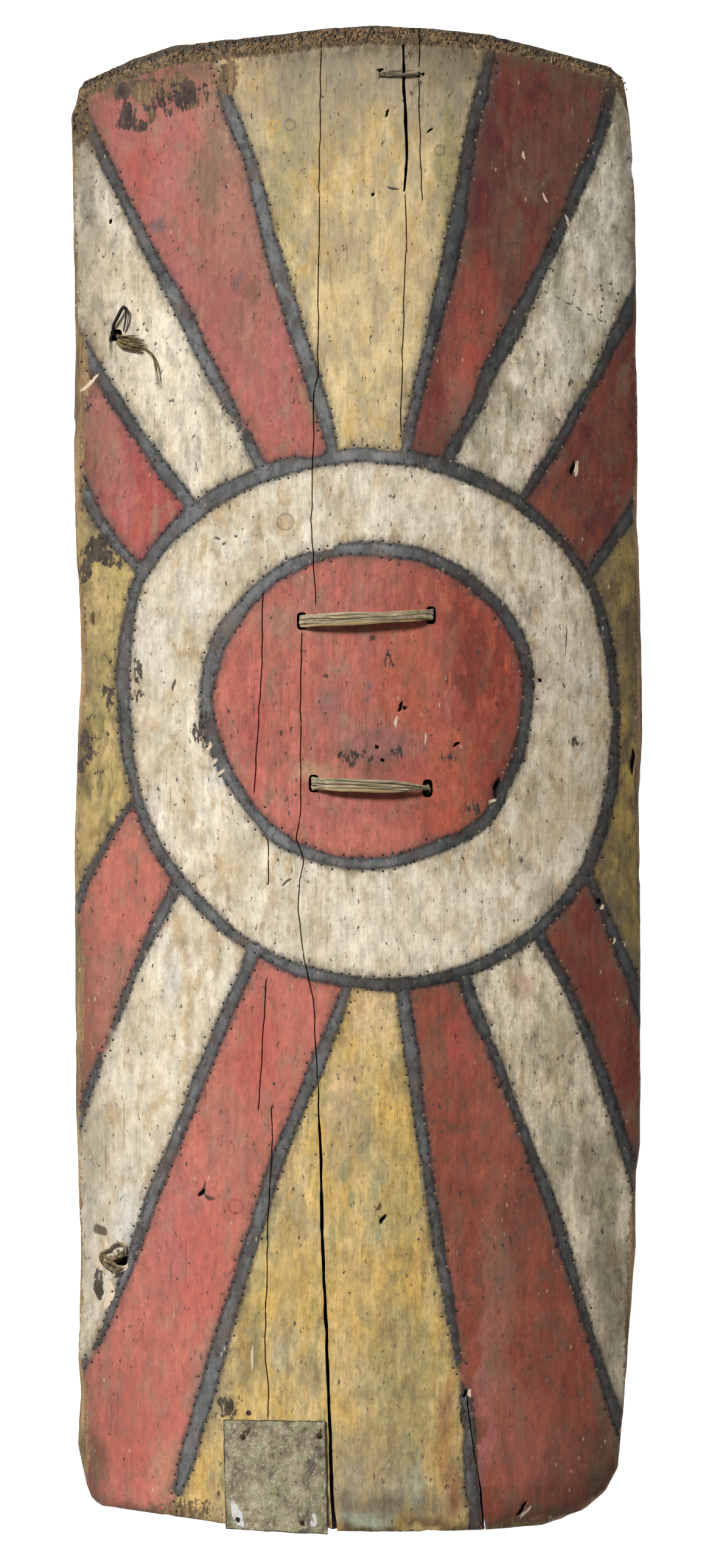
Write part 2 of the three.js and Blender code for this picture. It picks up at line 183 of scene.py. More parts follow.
def srgb(red, green, blue):
    """A colour as seen, 0 to 255, as linear numbers."""
    share = np.array([red, green, blue], float) / 255
    return np.where(share <= 0.04045, share / 12.92, ((share + 0.055) / 1.055) ** 2.4)


# Pigments, dirt and wood
CREAM = srgb(234, 222, 198)
CHALK = srgb(232, 228, 218)
OLD_WHITE = srgb(208, 192, 160)
GREY_WHITE = srgb(168, 162, 144)
TAN = srgb(192, 164, 124)
ROSE = srgb(182, 108, 102)
MADDER = srgb(172, 84, 78)
BRICK = srgb(182, 106, 91)
CORAL = srgb(198, 116, 99)
DUSTY_BRICK = srgb(166, 124, 104)
ORANGE = srgb(192, 100, 72)
EMBER = srgb(164, 78, 62)
OXBLOOD = srgb(120, 56, 46)
DARK_BRICK = srgb(140, 73, 54)
RUST = srgb(158, 86, 66)
CARMINE = srgb(188, 84, 76)
WINE = srgb(96, 46, 44)
CRIMSON = srgb(134, 56, 45)
BROWN_RED = srgb(112, 76, 62)
STRAW = srgb(228, 202, 150)
OCHRE = srgb(208, 170, 92)
MUSTARD = srgb(176, 148, 78)
SAND = srgb(210, 182, 124)
PALE_MUSTARD = srgb(190, 166, 102)
OLIVE = srgb(126, 112, 74)
GREEN_OCHRE = srgb(166, 154, 104)
VERDIGRIS = srgb(164, 172, 148)
DUST = srgb(160, 148, 124)
SLATE = srgb(104, 102, 102)
SOOT = srgb(46, 42, 40)
MUD = srgb(110, 98, 78)
KHAKI = srgb(182, 162, 122)
SAGE = srgb(178, 169, 140)
OLD_CREAM = srgb(234, 219, 189)
PEACH = srgb(226, 186, 140)
UMBER = srgb(92, 74, 54)
BARK = srgb(122, 96, 66)
LINE_DARK = srgb(50, 50, 52)
LINE_PALE = srgb(99, 101, 101)

# Fields in order round the ring, the first between the first ray and the second: the paint, a
# second tone that clouds it and a third where it is rubbed
FIELDS = [
    (OXBLOOD, DARK_BRICK, WINE), (CREAM, SAGE, KHAKI), (OXBLOOD, BROWN_RED, WINE), (STRAW, DUST, OCHRE),
    (ROSE, BRICK, DUSTY_BRICK), (CREAM, OLD_WHITE, GREY_WHITE), (MADDER, ROSE, DUSTY_BRICK),
    (PALE_MUSTARD, SAND, OLIVE), (CORAL, BRICK, DUSTY_BRICK), (CREAM, OLD_WHITE, TAN),
    (CORAL, BRICK, DUSTY_BRICK), (SAND, OCHRE, GREEN_OCHRE), (DARK_BRICK, RUST, BROWN_RED),
    (OLD_CREAM, SAGE, KHAKI), (OXBLOOD, DARK_BRICK, BROWN_RED), (OLIVE, MUSTARD, UMBER),
]
RING_FIELD = (CREAM, OLD_WHITE, TAN)
DISC_LEFT = (BRICK, CORAL, DUSTY_BRICK)
DISC_RIGHT = (EMBER, CRIMSON, ORANGE)
DISC_TURN = (10.0, 95.0)
# How mottled each field is
FIELD_BUSY = [1.0, 1.2, 1.1, 0.85, 0.9, 1.1, 1.0, 1.1, 0.85, 0.85, 0.85, 1.25, 0.95, 1.2, 0.9, 1.1]
RING_PART, DISC_PART = len(FIELDS), len(FIELDS) + 1
RING_BUSY = 1.0
DISC_BUSY = 1.05

# Dirt lies over any part of the pattern; other stains keep to the part their centre lies in
DIRT = (UMBER, BARK, DUST, MUD, SLATE, TAN)

# Soft stains, fadings and repaints: centre, half sizes, colour, strength
STAINS = [
    (-120, 560, 40, 90, DUSTY_BRICK, 0.8), (-115, 610, 40, 36, DUST, 0.55), (-90, 650, 60, 30, TAN, 0.5),
    (-197, 566, 13, 38, CARMINE, 0.75), (-134, 572, 13, 50, MUD, 0.5), (-116, 465, 5, 9, SLATE, 0.8),
    (-97, 454, 10, 13, BROWN_RED, 0.9), (-182.5, 512, 5, 6, SLATE, 0.8), (-150, 500, 24, 60, MUD, 0.25),
    (-66, 520, 16, 100, GREEN_OCHRE, 0.5), (-62, 640, 24, 46, MUD, 0.35), (-188, 642, 44, 20, MUD, 0.45),
    (-140, 650, 12, 22, MUD, 0.5), (-60, 580, 22, 60, GREEN_OCHRE, 0.35), (16, 600, 12, 60, STRAW, 0.6),
    (20, 476, 50, 112, STRAW, 0.62), (24, 352, 30, 36, STRAW, 0.35), (-22, 470, 12, 50, OCHRE, 0.3),
    (-30, 650, 60, 70, DUST, 0.85), (60, 650, 60, 60, DUST, 0.75), (84, 664, 34, 26, OLIVE, 0.6),
    (96, 640, 20, 60, SLATE, 0.35), (88, 560, 12, 90, GREEN_OCHRE, 0.9), (-30, 560, 14, 50, OCHRE, 0.35),
    (10, 590, 14, 30, OCHRE, 0.35), (60, 480, 18, 60, TAN, 0.35), (-10, 430, 26, 60, STRAW, 0.5),
    (-20, 500, 22, 40, DUST, 0.4), (-40, 350, 10, 18, TAN, 0.7), (-90, 450, 24, 60, DUSTY_BRICK, 0.45),
    (-205, 470, 20, 34, TAN, 0.4), (-248, 560, 10, 70, GREY_WHITE, 0.7), (-240, 470, 12, 60, TAN, 0.35),
    (-252, 520, 9, 60, MUD, 0.3), (-118, 436, 26, 60, BROWN_RED, 0.22), (-30, 610, 40, 36, SAND, 0.2),
    (-176, 100, 28, 90, SAGE, 0.35), (-252, 400, 10, 36, BARK, 0.7), (-254, 310, 10, 60, BARK, 0.6),
    (-240, 330, 16, 60, DUSTY_BRICK, 0.6), (-200, 250, 14, 30, ORANGE, 0.4),
    (-66, 239, 7.5, 7.5, TAN, 0.8), (-160, -205, 4.5, 95, TAN, 0.9), (-150, -250, 8, 30, TAN, 0.35),
    (-206, -360, 12, 40, GREY_WHITE, 0.2), (-100, 190, 60, 16, OLD_WHITE, 0.5),
    (90, 215, 50, 14, TAN, 0.4), (-190, 120, 18, 40, CHALK, 0.4), (-194, 20, 14, 40, TAN, 0.4),
    (-120, -90, 40, 20, TAN, 0.3), (30, -125, 50, 20, CREAM, 0.6), (-24, -120, 46, 30, CREAM, 0.5),
    (36, 258, 60, 22, CREAM, 0.25), (212, 60, 16, 120, GREY_WHITE, 0.28), (196, -20, 20, 40, TAN, 0.4),
    (60, 245, 60, 12, CHALK, 0.3), (-150, 165, 22, 26, CHALK, 0.55), (-192, -25, 14, 34, CHALK, 0.5),
    (60, 286, 60, 10, CREAM, 0.5), (-126, 15, 9, 24, CHALK, 0.6), (220, 48, 7, 13, KHAKI, 0.8),
    (172, 38, 14, 10, KHAKI, 0.6), (160, 168, 12, 18, MUD, 0.45), (192, 118, 9, 30, SLATE, 0.2),
    (170, -50, 16, 24, TAN, 0.4), (180, -108, 18, 20, UMBER, 0.45), (150, -65, 4, 44, BARK, 0.35),
    (133, 215, 3.5, 50, BARK, 0.45), (12, -155, 90, 18, CREAM, 1.0), (196, 150, 14, 50, CREAM, 0.4),
    (-212, -420, 14, 40, CHALK, 0.7), (10, -60, 70, 20, CORAL, 0.7), (-10, 190, 70, 14, BRICK, 0.3),
    (-40, -150, 5, 40, KHAKI, 0.5), (76, 262, 3, 26, BARK, 0.4), (28, 110, 7, 13, SLATE, 0.6),
    (12, 86, 3.4, 10, SLATE, 0.8), (-10, 24, 22, 11, BARK, 0.55), (-52, 4, 12, 12, TAN, 0.4),
    (84, 20, 14, 9, UMBER, 0.4), (108, -29, 9, 9, UMBER, 0.45), (48, 96, 28, 60, ORANGE, 0.75),
    (88, -10, 26, 60, ORANGE, 0.6), (106, 118, 24, 44, OXBLOOD, 0.75), (130, 20, 16, 60, OXBLOOD, 0.45),
    (14, 34, 46, 18, SLATE, 0.55), (22, 12, 22, 12, BROWN_RED, 0.6), (-20, 70, 16, 24, SLATE, 0.35),
    (-60, 150, 50, 20, DUSTY_BRICK, 0.5), (-40, 0, 26, 12, TAN, 0.4), (-100, 60, 20, 70, MADDER, 0.45),
    (-70, 30, 12, 50, BRICK, 0.4), (-30, -30, 60, 20, ROSE, 0.35), (-238, 90, 14, 60, GREEN_OCHRE, 0.4),
    (-256, 40, 8, 60, UMBER, 0.7), (-246, -60, 12, 40, OCHRE, 0.4), (-220, -200, 26, 60, DUSTY_BRICK, 0.5),
    (-252, -240, 10, 90, BARK, 0.5), (-180, -170, 12, 40, CHALK, 0.4),
    (-246, -330, 12, 60, GREY_WHITE, 0.45), (-250, -430, 8, 60, GREY_WHITE, 0.4),
    (-225, -480, 10, 30, CHALK, 0.6), (-170, -420, 26, 70, ROSE, 0.45),
    (-120, -330, 24, 50, DUSTY_BRICK, 0.4), (-210, -600, 30, 50, ORANGE, 0.25),
    (-244, -640, 14, 50, UMBER, 0.65), (-90, -247, 22, 50, CARMINE, 0.45),
    (-146, -455, 24, 70, CARMINE, 0.35), (-170, -650, 24, 40, TAN, 0.35),
    (-138, -640, 12, 50, OCHRE, 0.45), (-136, -560, 16, 60, DUST, 0.6),
    (-96, -500, 8, 60, GREEN_OCHRE, 0.6), (-104, -516, 12, 66, MUD, 0.6), (-66, -512, 11, 42, SAGE, 0.65),
    (-66, -446, 9, 24, VERDIGRIS, 0.35), (-56, -470, 14, 74, SAGE, 0.25), (-130, -662, 10, 30, DUST, 0.6),
    (-196, -588, 34, 70, MADDER, 0.3), (100, -236, 14, 46, CARMINE, 0.5), (126, -330, 24, 60, BRICK, 0.2),
    (26, -540, 30, 60, SAGE, 0.35), (44, -420, 12, 50, MUSTARD, 0.3), (-58, -560, 14, 30, VERDIGRIS, 0.3),
    (-119, -584, 9, 9, UMBER, 0.7), (119, -590, 7, 92, ROSE, 0.85), (94, -322, 18, 5, UMBER, 0.7),
    (64, -420, 7, 30, UMBER, 0.5), (194, -345, 8, 18, MUD, 0.6), (176, -208, 5, 6, MUD, 0.7),
    (16, -215, 20, 26, PEACH, 0.7), (-14, -290, 8, 30, PEACH, 0.7), (30, -342, 12, 20, SLATE, 0.3),
    (186, -270, 6, 50, TAN, 0.5), (214, -330, 8, 40, MUD, 0.35), (24, -230, 18, 40, STRAW, 0.6),
    (-8, -330, 22, 40, DUST, 0.45), (30, -320, 10, 60, OCHRE, 0.6), (20, -400, 12, 50, VERDIGRIS, 0.4),
    (-4, -450, 12, 60, STRAW, 0.5), (56, -470, 12, 60, OCHRE, 0.7), (20, -520, 20, 30, OCHRE, 0.7),
    (-50, -400, 12, 50, STRAW, 0.5), (-64, -350, 10, 40, TAN, 0.4), (40, -380, 26, 60, GREEN_OCHRE, 0.5),
    (-60, -480, 26, 40, OCHRE, 0.6), (-70, -400, 20, 30, DUST, 0.4), (10, -470, 30, 40, OCHRE, 0.4),
    (40, -540, 40, 60, GREEN_OCHRE, 0.7), (20, -640, 60, 50, DUST, 0.9), (30, -672, 70, 20, MUD, 0.7),
    (30, -694, 90, 6, UMBER, 0.9), (50, -600, 30, 50, GREEN_OCHRE, 0.6), (4, -682, 32, 9, VERDIGRIS, 0.8),
    (60, -650, 9, 26, VERDIGRIS, 0.5), (88, -620, 7, 90, DARK_BRICK, 0.6),
    (130, -500, 16, 120, DUSTY_BRICK, 0.4), (160, -620, 30, 50, BRICK, 0.5),
    (200, -640, 30, 50, BROWN_RED, 0.5), (236, -640, 16, 60, UMBER, 0.8), (160, -690, 60, 8, UMBER, 0.7),
    (-200, -684, 60, 8, UMBER, 0.7), (150, -420, 20, 60, BROWN_RED, 0.4), (170, -250, 30, 60, TAN, 0.25),
    (160, -220, 20, 34, OLD_CREAM, 0.4), (225, -400, 20, 80, DUST, 0.7), (232, -480, 18, 80, MUD, 0.6),
    (150, -190, 14, 14, BRICK, 0.4), (162, -80, 8, 7, UMBER, 0.5), (240, -10, 14, 60, MUSTARD, 0.35),
    (256, 160, 8, 80, UMBER, 0.5), (236, 60, 10, 60, MUSTARD, 0.4), (200, 260, 30, 30, BROWN_RED, 0.5),
    (240, 330, 16, 50, BROWN_RED, 0.6), (180, 300, 16, 50, BRICK, 0.25), (90, 380, 16, 60, BRICK, 0.35),
    (190, 600, 26, 60, BROWN_RED, 0.6), (116, 590, 20, 84, WINE, 0.8), (196, 560, 14, 40, UMBER, 0.25),
    (160, 500, 20, 60, DARK_BRICK, 0.3), (112, 420, 26, 66, EMBER, 0.85), (96, 360, 16, 40, BRICK, 0.3),
    (212, 300, 20, 26, WINE, 0.35), (200, 420, 22, 50, CHALK, 0.25), (248, 520, 10, 90, GREY_WHITE, 0.6),
    (226, 520, 14, 70, CHALK, 0.35),
]
# Charred and flaked spots: centre, half sizes, strength
BLOTS = [
    (-218, 642, 8, 9, 1.05), (-214, 626, 7, 5, 0.95), (-215, 614, 8, 9, 1.05), (-203, 609, 9, 5, 1.0),
    (-206, 648, 12, 4, 0.75), (-188, 650, 12, 3, 0.65), (-196, 634, 4, 12, 0.7), (-176, 622, 5, 6, 0.7),
    (-140, 640, 4, 8, 0.55), (-184, 635, 9, 11, 0.72), (-160.5, 637, 11, 14, 1.15), (-192, 622, 6, 5, 0.8),
    (-170, 648, 7, 4, 0.6), (-238, 222, 13, 5, 1.0), (-245, 212, 9, 9, 1.1), (-232, 207, 4, 10, 0.9),
    (-252, 200, 4, 9, 0.9), (-222, 204, 3, 7, 0.7), (-229, 76, 3, 11, 1.0), (-235, 84, 2.5, 5, 0.8),
    (-229, 110, 2.5, 4, 0.8), (-253, 36, 5, 9, 1.1), (-250, 22, 5, 6, 0.8), (-257, 12, 3, 6, 0.9),
    (-247, 60, 3, 6, 0.7), (-232, 44, 3, 4, 0.8), (-241, 38, 3, 4, 0.8), (-240, 8, 3, 4, 0.6),
    (-256, 150, 2.5, 14, 0.8), (-203, 98, 3, 13, 0.85), (-204, 78, 3, 6, 0.8), (205, 36, 7, 3, 0.8),
    (84, 20, 9, 4, 0.6), (38, 24, 6, 6, 0.6), (109, -28, 7, 5, 0.65), (-6, 22, 12, 6, 0.55),
    (30, 110, 4, 9, 0.5), (-145, 42, 8, 12, 0.6), (-139, 58, 6, 8, 0.55), (-130, 30, 5, 6, 0.45),
    (-240, -470, 5, 12, 0.8), (-228, -452, 3, 8, 0.7), (-258, 380, 5, 14, 0.7), (-252, 352, 6, 10, 0.7),
    (-264, 250, 4, 18, 0.7), (-255, 196, 6, 16, 0.7), (264, 250, 4, 20, 0.6), (100, -592, 5, 14, 0.75),
    (108, -628, 6, 10, 0.75), (-119, -583, 8, 8, 0.85), (-126, -578, 5, 4, 0.8),
]
# Small damage: kind, centre, half length, half width, way of its length in degrees
MARKS = [
    ("dark", 33.7, 547.9, 6.8, 1.4, -15), ("hole", 15.3, 542.2, 1.8, 1.6, 0),
    ("hole", 28.3, 617.5, 4.2, 1.1, 65), ("hole", 67.9, 601.7, 3.8, 1.0, 40),
    ("hole", 200.8, 289.2, 7.5, 2.0, 84), ("chip", 204.6, 289.6, 8.6, 2.0, 78),
    ("hole", 130.2, -8, 11, 2.8, 80), ("chip", 126.4, -19, 5, 1.6, 30),
    ("hole", 225.8, -114.3, 3.0, 3.0, 0), ("chip", 228.6, -118.6, 3.0, 1.6, 40),
    ("hole", 24.3, -407.5, 5.4, 1.8, 62), ("dark", 20.5, -396, 5, 2.2, 60),
    ("hole", -143.8, -383.7, 4.6, 2.0, 60), ("dark", -136.6, -388, 6, 2.2, -20),
    ("dark", -141, -379, 7, 1.2, 80), ("hole", 100.8, -570, 4.2, 1.6, 80),
    ("chip", 104.6, -569, 4.5, 2.2, 80), ("hole", 153.6, -677.8, 8.5, 1.6, 52),
    ("chip", 157.2, -680.6, 8.8, 1.5, 50), ("hole", 257.5, 16.7, 13, 2.2, 90),
    ("hole", 170.4, 92.3, 1.8, 1.8, 0), ("hole", 40.8, 67.5, 5.5, 1.5, 66), ("chip", 36.4, 54, 6, 1.5, 84),
    ("hole", 44.6, 66.4, 2, 1.6, 0), ("hole", 92.6, 32.6, 3.8, 1.4, 30), ("dark", 7, 26, 2.4, 2.4, 0),
    ("dark", 13, 19, 4.5, 2.4, 70), ("hole", 19, 30, 1.9, 1.6, 0), ("hole", 24, 17.6, 2.0, 1.5, 0),
    ("dark", -4, 14.5, 4, 3, 0), ("chip", 63.6, 38, 7, 0.8, 88), ("chip", -97, -536, 13, 1.3, 86),
    ("dark", 14, 131, 3, 3.4, 90), ("dark", -28, 96, 2.2, 3, 90), ("dark", -198, 424, 1.5, 1.5, 0),
    ("dark", -203.5, 418.5, 1.7, 1.5, 0), ("dark", -195, 418, 1.7, 1.6, 0),
    ("dark", -187, 405.5, 1.5, 1.5, 0), ("chip", -249, 370, 13.5, 1.8, 41), ("chip", -271, 436, 14, 2, 41),
    ("chip", -220, -455, 9, 5, 60), ("chip", -231, -480, 15, 4, 80), ("dark", -222, -462, 5, 2.4, 10),
    ("dark", -240, -478, 3.4, 9, 0), ("dark", -239, -420, 7, 6, 20), ("chip", 36, 619.8, 3, 0.9, 60),
    ("dark", -246, 150, 2, 8, 0), ("dark", -153, 430, 5, 1.0, 60), ("dark", 176, 453, 3.4, 0.7, -27),
    ("dark", 187, 448, 3.2, 0.7, -27), ("dark", 197, 443, 3.4, 0.8, -27),
    ("dark", 207, 438, 3.8, 1.0, -27), ("dark", 217, 433, 3.2, 0.8, -27), ("dark", 227, 428, 4, 0.8, -27),
    ("dark", 227.7, 460, 1.6, 1.4, 0), ("dark", 237, 462, 1.6, 1.4, 0), ("dark", 240.6, 434, 1.5, 1.3, 0),
    ("dark", 227.7, 435.5, 2, 1.3, 80), ("dark", 195, 129, 18, 0.7, 89), ("dark", -170, 88, 7, 1.6, 80),
    ("dark", -65, -95, 7, 1.3, 35), ("dark", -129, 224, 3.2, 1.4, -40), ("dark", -123, 219, 2.2, 1.4, 10),
    ("dark", -112, 226, 2, 1.3, 0), ("dark", 229, -421, 3, 1.3, 80), ("chip", -137, 31, 5, 2, 70),
    ("chip", -132, 17, 4, 1.8, 60), ("chip", -126, 7, 5, 1.6, 50), ("dark", 228.6, 456.5, 1.8, 1.3, 80),
    ("dark", 230, 447.7, 2.2, 1.2, 100), ("dark", 228.6, 441, 1.6, 1.2, 0),
    ("dark", 244.3, 453, 2.0, 1.3, 70), ("dark", 242.5, 446, 1.8, 1.1, 40),
    # The dark mark by the left stitch hole is painted shade round the hole
    ("hole", 22, 657.6, 3.2, 1.2, 0), ("dark", 22, 650.6, 3.2, 1.2, 0), ("hole", 61, 654, 1.6, 2.6, 0),
    ("dark", 40, 656.6, 14, 0.9, 0), ("chip", 196, 520, 7, 1.3, 110), ("chip", 175, 541, 6, 1.2, 120),
    ("chip", 155, 580, 4.5, 1.4, 95), ("chip", 240, -150, 4, 1.0, 80), ("hole", -229, 520, 2.5, 1.2, 60),
]
# Ring-shaped stains: centre, radius, width, colour, strength
RING_STAINS = [
    (-112, -396, 6.6, 1.5, MADDER, 0.75), (77, 583.5, 4.5, 1.3, UMBER, 0.6),
    (-133, 614, 7.2, 1.4, MADDER, 0.45), (-76, 606, 4.6, 1.8, OCHRE, 0.75), (-62, 607, 5, 1.2, SLATE, 0.6),
    (-17, 582, 8, 1.6, OCHRE, 0.4), (-66, 239, 3.6, 3, TAN, 0.85), (-66, 239, 7.4, 1.3, BARK, 0.6),
    (34, 566, 9, 1.6, OCHRE, 0.4), (22, 500, 8, 1.5, OCHRE, 0.3),
]
# Where a dark line has been rubbed thin or away: centre, half sizes, how much of it in millimetres
RUBBED_LINES = [
    (-134, 668, 24, 28, 12), (-174, -686, 18, 24, 12), (30, 307, 16, 8, 3.4), (-40, 300, 12, 8, 3),
    (-112, 326, 12, 14, 3), (-30, 214, 14, 8, 3), (-248, -534, 8, 10, 1.5), (-232, -244, 10, 20, 2.5),
    (96, -556, 10, 16, 3), (128, 660, 14, 26, 2.5), (-46, 186, 8, 8, 2.5),
]
# How much paler or darker a stretch of line is: centre, half sizes, factor
LINE_TONES = [
    (-228, 570, 40, 60, 0.78), (-220, 350, 24, 50, 0.62), (70, -188, 110, 14, 0.5),
    (-226, 60, 14, 120, 0.9), (-141, 66, 20, 90, 0.85), (104, -600, 14, 110, 1.35), (10, 306, 60, 8, 1.3),
    (-187, 480, 16, 24, 0.7), (-170, 446, 14, 18, 1.25),
]
# Where the paint has broken off the wood: centre, half sizes, strength
LOSSES = [
    (-200, 638, 9, 11, 0.75), (-190, 617, 7, 10, 0.6), (-152, 625, 7, 8, 0.6), (-185, 645, 34, 16, 0.4),
    (-164, 653, 6, 5, 0.6), (-118, 652, 9, 18, 0.85), (-128, 640, 12, 16, 0.35), (-256, 380, 9, 40, 0.7),
    (-258, 300, 8, 60, 0.55), (-256, 120, 6, 60, 0.5), (-258, -200, 6, 90, 0.45), (-256, -600, 9, 60, 0.5),
    (262, 100, 6, 200, 0.4), (256, -500, 7, 140, 0.45), (-150, -676, 40, 10, 0.45),
    (150, -688, 60, 9, 0.4), (-132, -600, 8, 40, 0.35), (-37, 330, 6, 16, 0.4), (-246, 560, 8, 60, 0.35),
    (-30, -12, 5, 20, 0.25),
]

# The plank's mesh: the wear of its outline, the spacing of its points and the depth of its relief
RAGGED = 0.7
ROOM_CELL = 0.8
ROOM_HALF = np.array([350, 800])
GRID = 5.0
BACK_GRID = 9.0
PIT_RADIUS = 1.8
PIT_DEPTH = 1.4
PIT_SPACING = 9.4
HOLE_DEPTH = 3.2
CRACK_DEPTH = 2.6
CRACK_HALF = 0.75
CRACK_LEAN = 5.0
CRACK_REACHES = (26, 11, 14)
DARK_DEPTH = 0.4
CHIP_DEPTH = 0.35
# The walls between face and back: where the outer ones begin, and where their rows of points lie
SIDE_WALL_X = 225
WALL_SHARES = (0.3, 0.6, 0.85)
# Hewn waves of the face: height, size across and along, seed
WAVES = [(0.45, 85, 170, 1), (0.22, 26, 75, 2)]
WAVE_DROP = 0.3
# Painted shade towards the plank's sides, how dark the paint is made there: distance from the left side,
# factor
SIDE_SHADE = ([0, 22, 80, 360, 505, 534], [0.6, 0.76, 0.96, 1, 0.86, 0.68])
# How pale the dark lines are from left to right, over the middle and at the foot: x, factor
UPPER_LINE_TONE = (
    [-266, -200, -150, -60, 30, 62, 92, 260],
    [0.72, 0.82, 0.96, 1.12, 1.26, 0.66, 0.44, 0.36],
)
LOWER_LINE_TONE = ([-266, 0, 60, 105, 160, 260], [0.9, 0.86, 0.76, 0.58, 0.46, 0.38])
# The beaten band along the top end, its width, and the painted shade on its crest: x, millimetres
BAND_WIDTH = ([-270, -120, 40, 110, 180, 260], [21, 20, 19, 16, 14, 15])
CREST_WIDTH = ([-260, -110, -60, 70, 120, 250], [8.5, 8, 3, 2.5, 5.5, 6])
BAND_LEFT_CORNER = np.array([(-263.0, 606), (-266, 636), (-250, 664), (-212, 676)])
BAND_RIGHT_CORNER = np.array([(264.0, 628), (248, 662), (222, 674)])
# How much of a stain the paint, its clouds and its rubbed places take
STAIN_SHARES = np.array([1.0, 0.55, 0.7])[:, None]
# How many loose fibres the top end and its charred left corner have
END_FIBRES = 760
CORNER_TUFTS = 90
# Grime from left to right: x, factor
GRIME_ACROSS = ([-266, -60, 60, 190, 266], [0.6, 0.5, 0.6, 1.0, 1.1])


def soft_noise(x, y, cell_x, cell_y, seed):
    """Smooth noise from -1 to 1 with cells of the given size."""
    lattice = np.random.default_rng(seed).random((97, 97)) * 2 - 1
    u, v = np.asarray(x) / cell_x + 331, np.asarray(y) / cell_y + 467
    i, j = np.floor(u).astype(int), np.floor(v).astype(int)
    f, g = u - i, v - j
    f, g = f * f * (3 - 2 * f), g * g * (3 - 2 * g)
    at = lambda a, b: lattice[a % 97, b % 97]
    low = at(i, j) * (1 - f) + at(i + 1, j) * f
    high = at(i, j + 1) * (1 - f) + at(i + 1, j + 1) * f
    return low * (1 - g) + high * g


def stations(table, at):
    """The second column of a table at given values of its first."""
    table = np.array(table, float)
    return np.interp(at, table[:, 0], table[:, 1])


def plan_point(s, t):
    """Plan position of the point a share s across the plank and t up it."""
    left_y = FOOT_END[0][1] + (TOP_END[0][1] - FOOT_END[0][1]) * t
    right_y = FOOT_END[-1][1] + (TOP_END[-1][1] - FOOT_END[-1][1]) * t
    foot_x = FOOT_END[0][0] + (FOOT_END[-1][0] - FOOT_END[0][0]) * s
    top_x = TOP_END[0][0] + (TOP_END[-1][0] - TOP_END[0][0]) * s
    left, right = stations(LEFT_SIDE, left_y), stations(RIGHT_SIDE, right_y)
    foot, top = stations(FOOT_END, foot_x), stations(TOP_END, top_x)
    return left + (right - left) * s, foot + (top - foot) * t


def shares_at(x, y):
    """The shares across and up the plank that plan_point() turns into these points."""
    s, t = np.full(np.shape(x), 0.5), np.full(np.shape(x), 0.5)
    for _ in range(6):
        left, right = plan_point(0, t)[0], plan_point(1, t)[0]
        s = (x - left) / (right - left)
        foot, top = plan_point(s, 0)[1], plan_point(s, 1)[1]
        t = (y - foot) / (top - foot)
    return s, t


def rounding(distance, radius):
    """How far a rounded edge drops at a distance from it."""
    inside = np.clip(radius - distance, 0, radius)
    return radius - np.sqrt(radius**2 - inside**2)


def surface(x, y):
    """Height of the bare face and back, the lean of the face, and how far the ends and sides are."""
    s = np.clip(shares_at(np.asarray(x, float), np.asarray(y, float))[0], 0, 1)
    angle = np.arcsin((2 * s - 1) * math.sin(HALF_ANGLE))
    side = np.minimum(s, 1 - s) * PLANK_WIDTH
    top = plan_point(s, 1)[1] - y
    foot = y - plan_point(s, 0)[1]
    bevel = TOP_BEVEL_DROP * np.clip(1 - top / TOP_BEVEL_LENGTH, 0, 1)
    worn = np.maximum(np.maximum(rounding(side, SIDE_ROUNDING), rounding(foot, FOOT_ROUNDING)), bevel)
    crown = FACE_RADIUS * np.cos(angle) - BACK_EDGE_Z
    back = (FACE_RADIUS - THICKNESS) * np.cos(angle) - BACK_EDGE_Z
    return dict(face=crown - worn, crown=crown, back=back, angle=angle, side=side, top=top, foot=foot)


def undulation(x, y):
    """The hand-hewn unevenness of the face."""
    return sum(height * soft_noise(x, y, *size) for height, *size in WAVES) - WAVE_DROP


def felt(x, y, cx, cy, rx, ry, top=1.3, fall=1.0):
    """How strongly a spot is felt at each point, 1 in its middle: its centre and half sizes."""
    return np.clip(top - fall * (((x - cx) / rx) ** 2 + ((y - cy) / ry) ** 2), 0, 1)


def put_mesh(name, points, faces, materials, smooth=True):
    """A new piece from points in millimetres, riding on the shield."""
    mesh = bpy.data.meshes.new(name)
    mesh.from_pydata((np.asarray(points, float) * MM).tolist(), [], [list(map(int, f)) for f in faces])
    mesh.validate()
    piece = bpy.data.objects.new(name, mesh)
    bpy.context.scene.collection.objects.link(piece)
    for material in materials:
        mesh.materials.append(material)
    mesh.polygons.foreach_set("use_smooth", [smooth] * len(mesh.polygons))
    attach(piece, "root")
    return piece


def put_values(piece, name, values):
    """A value or a colour for each of a piece's points, for its material to read."""
    values = np.asarray(values, np.float32)
    if values.ndim == 1:
        layer = piece.data.attributes.new(name, "FLOAT", "POINT")
        layer.data.foreach_set("value", values)
    else:
        layer = piece.data.attributes.new(name, "FLOAT_COLOR", "POINT")
        opaque = np.ones((len(values), 1), np.float32)
        layer.data.foreach_set("color", np.concatenate([values, opaque], 1).ravel())


# Materials

